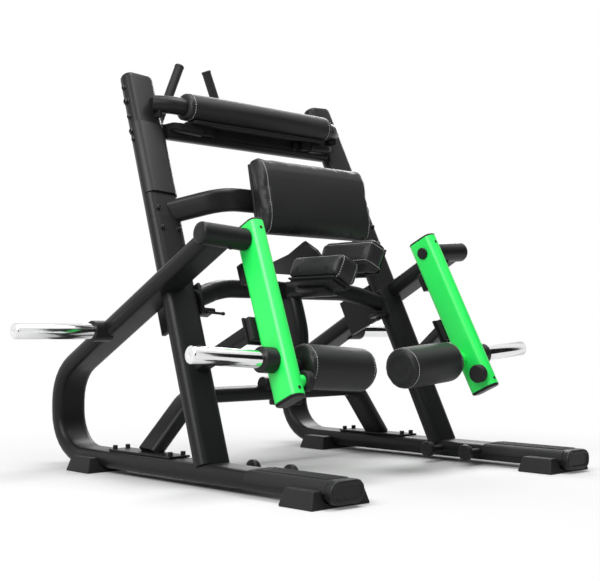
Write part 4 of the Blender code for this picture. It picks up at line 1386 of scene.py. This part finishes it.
# ---- studio -------------------------------------------------------------------------------------------
@dataclass
class Studio:
    """Camera, soft lamps, white world and a floor that keeps the machine's shadow, with a painted shadow of
    grey round the machine.

    Attributes:
        camera_at: Where the camera is.
        azimuth: Its bearing, in degrees from +Y towards +X.
        pitch: How far it looks up, in degrees.
        lens: Its focal length in millimetres.
        lamps: Name, place, aim, side in metres and watts of each.
        glow: The world's strength as a light.
        floor_shadow_grey: The grey of the shadow painted on the floor round the machine.
        floor_near: Out to here the floor is all grey, a painted shadow that the lamps light.
        floor_far: From here on it is plain white.
        card_away: How far off the dark cards stand.
        card_size: Their width and height.
    """

    camera_at: Point = (-2.595, -2.692, 0.456)
    azimuth: float = 43.35
    pitch: float = 1.97
    lens: float = 67.7
    lamps: tuple[tuple[str, Point, Point, float, float], ...] = (
        ("key", (-3.4, -0.9, 2.9), (0.0, 0.0, 0.6), 2.4, 168),
        ("top", (0.2, -0.6, 4.2), (0.0, 0.0, 0.6), 2.2, 138),
        ("rim", (2.6, 2.2, 2.6), (0.0, 0.0, 0.7), 2.0, 90),
    )
    glow: float = 0.24
    floor_shadow_grey: float = 0.62
    floor_near: float = 0.5
    floor_far: float = 1.9
    card_away: float = 5.4
    card_size: tuple[float, float] = (8.0, 4.6)

    def build(self) -> None:
        """Makes the studio."""
        self.camera()
        self.world()
        self.floor()
        for lamp in self.lamps:
            self.lamp(*lamp)
        self.dark_card(self.azimuth + 180)
        self.dark_card(180 - self.azimuth)
        view = bpy.context.scene.view_settings
        view.view_transform = "Standard"

    def camera(self) -> None:
        """The camera at the photograph's place."""
        data = bpy.data.cameras.new("camera")
        data.lens, data.sensor_width = self.lens, 36
        made = linked("camera", data)
        turn, tilt = math.radians(self.azimuth), math.radians(self.pitch)
        look = Vector((math.sin(turn) * math.cos(tilt), math.cos(turn) * math.cos(tilt), math.sin(tilt)))
        made.location = self.camera_at
        made.rotation_mode = "QUATERNION"
        made.rotation_quaternion = look.to_track_quat("-Z", "Y")
        bpy.context.scene.camera = made

    def lamp(self, name: str, at: Point, aim: Point, size: float, power: float) -> None:
        """A square soft lamp.

        Args:
            name: The lamp's name.
            at: Where it hangs.
            aim: What it points at.
            size: Its side.
            power: Its watts.
        """
        data = bpy.data.lights.new(name, "AREA")
        data.size, data.energy = size, power
        made = linked(name, data)
        made.location = at
        made.rotation_mode = "QUATERNION"
        made.rotation_quaternion = (Vector(aim) - Vector(at)).to_track_quat("-Z", "Y")

    def world(self) -> None:
        """A plain white world, far brighter to the camera and in reflections than as a light."""
        made = bpy.data.worlds.new("world")
        made.use_nodes = True
        tree = made.node_tree
        tree.nodes.clear()
        end, path = tree.nodes.new("ShaderNodeOutputWorld"), tree.nodes.new("ShaderNodeLightPath")
        glow, back = tree.nodes.new("ShaderNodeBackground"), tree.nodes.new("ShaderNodeBackground")
        for shade, strength in ((glow, self.glow), (back, 1.0)):
            shade.inputs["Color"].default_value = (1, 1, 1, 1)
            shade.inputs["Strength"].default_value = strength
        pick = tree.nodes.new("ShaderNodeMixShader")
        seen = tree.nodes.new("ShaderNodeMath")
        seen.operation = "MAXIMUM"
        tree.links.new(path.outputs["Is Camera Ray"], seen.inputs[0])
        tree.links.new(path.outputs["Is Glossy Ray"], seen.inputs[1])
        tree.links.new(seen.outputs[0], pick.inputs[0])
        tree.links.new(glow.outputs[0], pick.inputs[1])
        tree.links.new(back.outputs[0], pick.inputs[2])
        tree.links.new(pick.outputs[0], end.inputs["Surface"])
        bpy.context.scene.world = made

    def dark_card(self, bearing: float) -> None:
        """A black card beyond the lamps, seen in reflections only, that gives chrome its dark band.

        Args:
            bearing: Its direction from the machine, in degrees from +Y towards +X.
        """
        bm = bmesh.new()
        turn = math.radians(bearing)
        away = Vector((math.sin(turn), math.cos(turn), 0))
        facing = away.to_track_quat("Z", "Y").to_matrix().to_4x4()
        wide, tall = self.card_size
        at = Matrix.Translation(away * self.card_away + Vector((0, 0, tall / 2)))
        size = Matrix.Diagonal((wide / 2, tall / 2, 1, 1))
        bmesh.ops.create_grid(bm, x_segments=1, y_segments=1, size=1, matrix=at @ facing @ size)
        made = linked("dark_card", mesh_from("dark_card", bm))
        s = Shader("card black")
        s.node_end(s.node("ShaderNodeBsdfDiffuse", None, {"Color": (0.01, 0.01, 0.01, 1)}))
        made.data.materials.append(s.material)
        made.visible_camera = made.visible_diffuse = made.visible_shadow = False

    def floor(self) -> None:
        """A floor with a painted shadow of grey round the machine, that turns to plain white away from it."""
        bm = bmesh.new()
        bmesh.ops.create_circle(bm, cap_ends=True, segments=64, radius=40)
        made = linked("floor", mesh_from("floor", bm))
        made.location.z = -0.0005
        s = Shader("floor white")
        away = s.node("ShaderNodeVectorMath", {"operation": "LENGTH"}, {0: s.coords()}, "Value")
        far = away.above(self.floor_near, self.floor_far - self.floor_near)
        # The grey diffuse near the machine is a painted shadow; the lamps' real shadows fall on it too.
        matt = s.node("ShaderNodeBsdfDiffuse", None, {"Color": (*[self.floor_shadow_grey] * 3, 1)})
        white = s.node("ShaderNodeEmission", None, {"Color": (1, 1, 1, 1), "Strength": 1.0})
        s.node_end(s.node("ShaderNodeMixShader", None, {0: far, 1: matt, 2: white}))
        made.data.materials.append(s.material)


def main() -> None:
    """Builds the studio and every sub-assembly, in order."""
    logging.basicConfig(level=logging.INFO, format="%(name)s: %(message)s")
    Studio().build()
    finishes = Finishes().make()
    Dressing().dress(finishes)
    shop = Workshop(finishes)
    SteelWork().build(shop)
    KneeFrame().build(shop)
    Fittings().build(shop)
    Upholstery().build(shop)
    log.info("%d pieces made", shop.made)


if __name__ == "__main__":
    main()
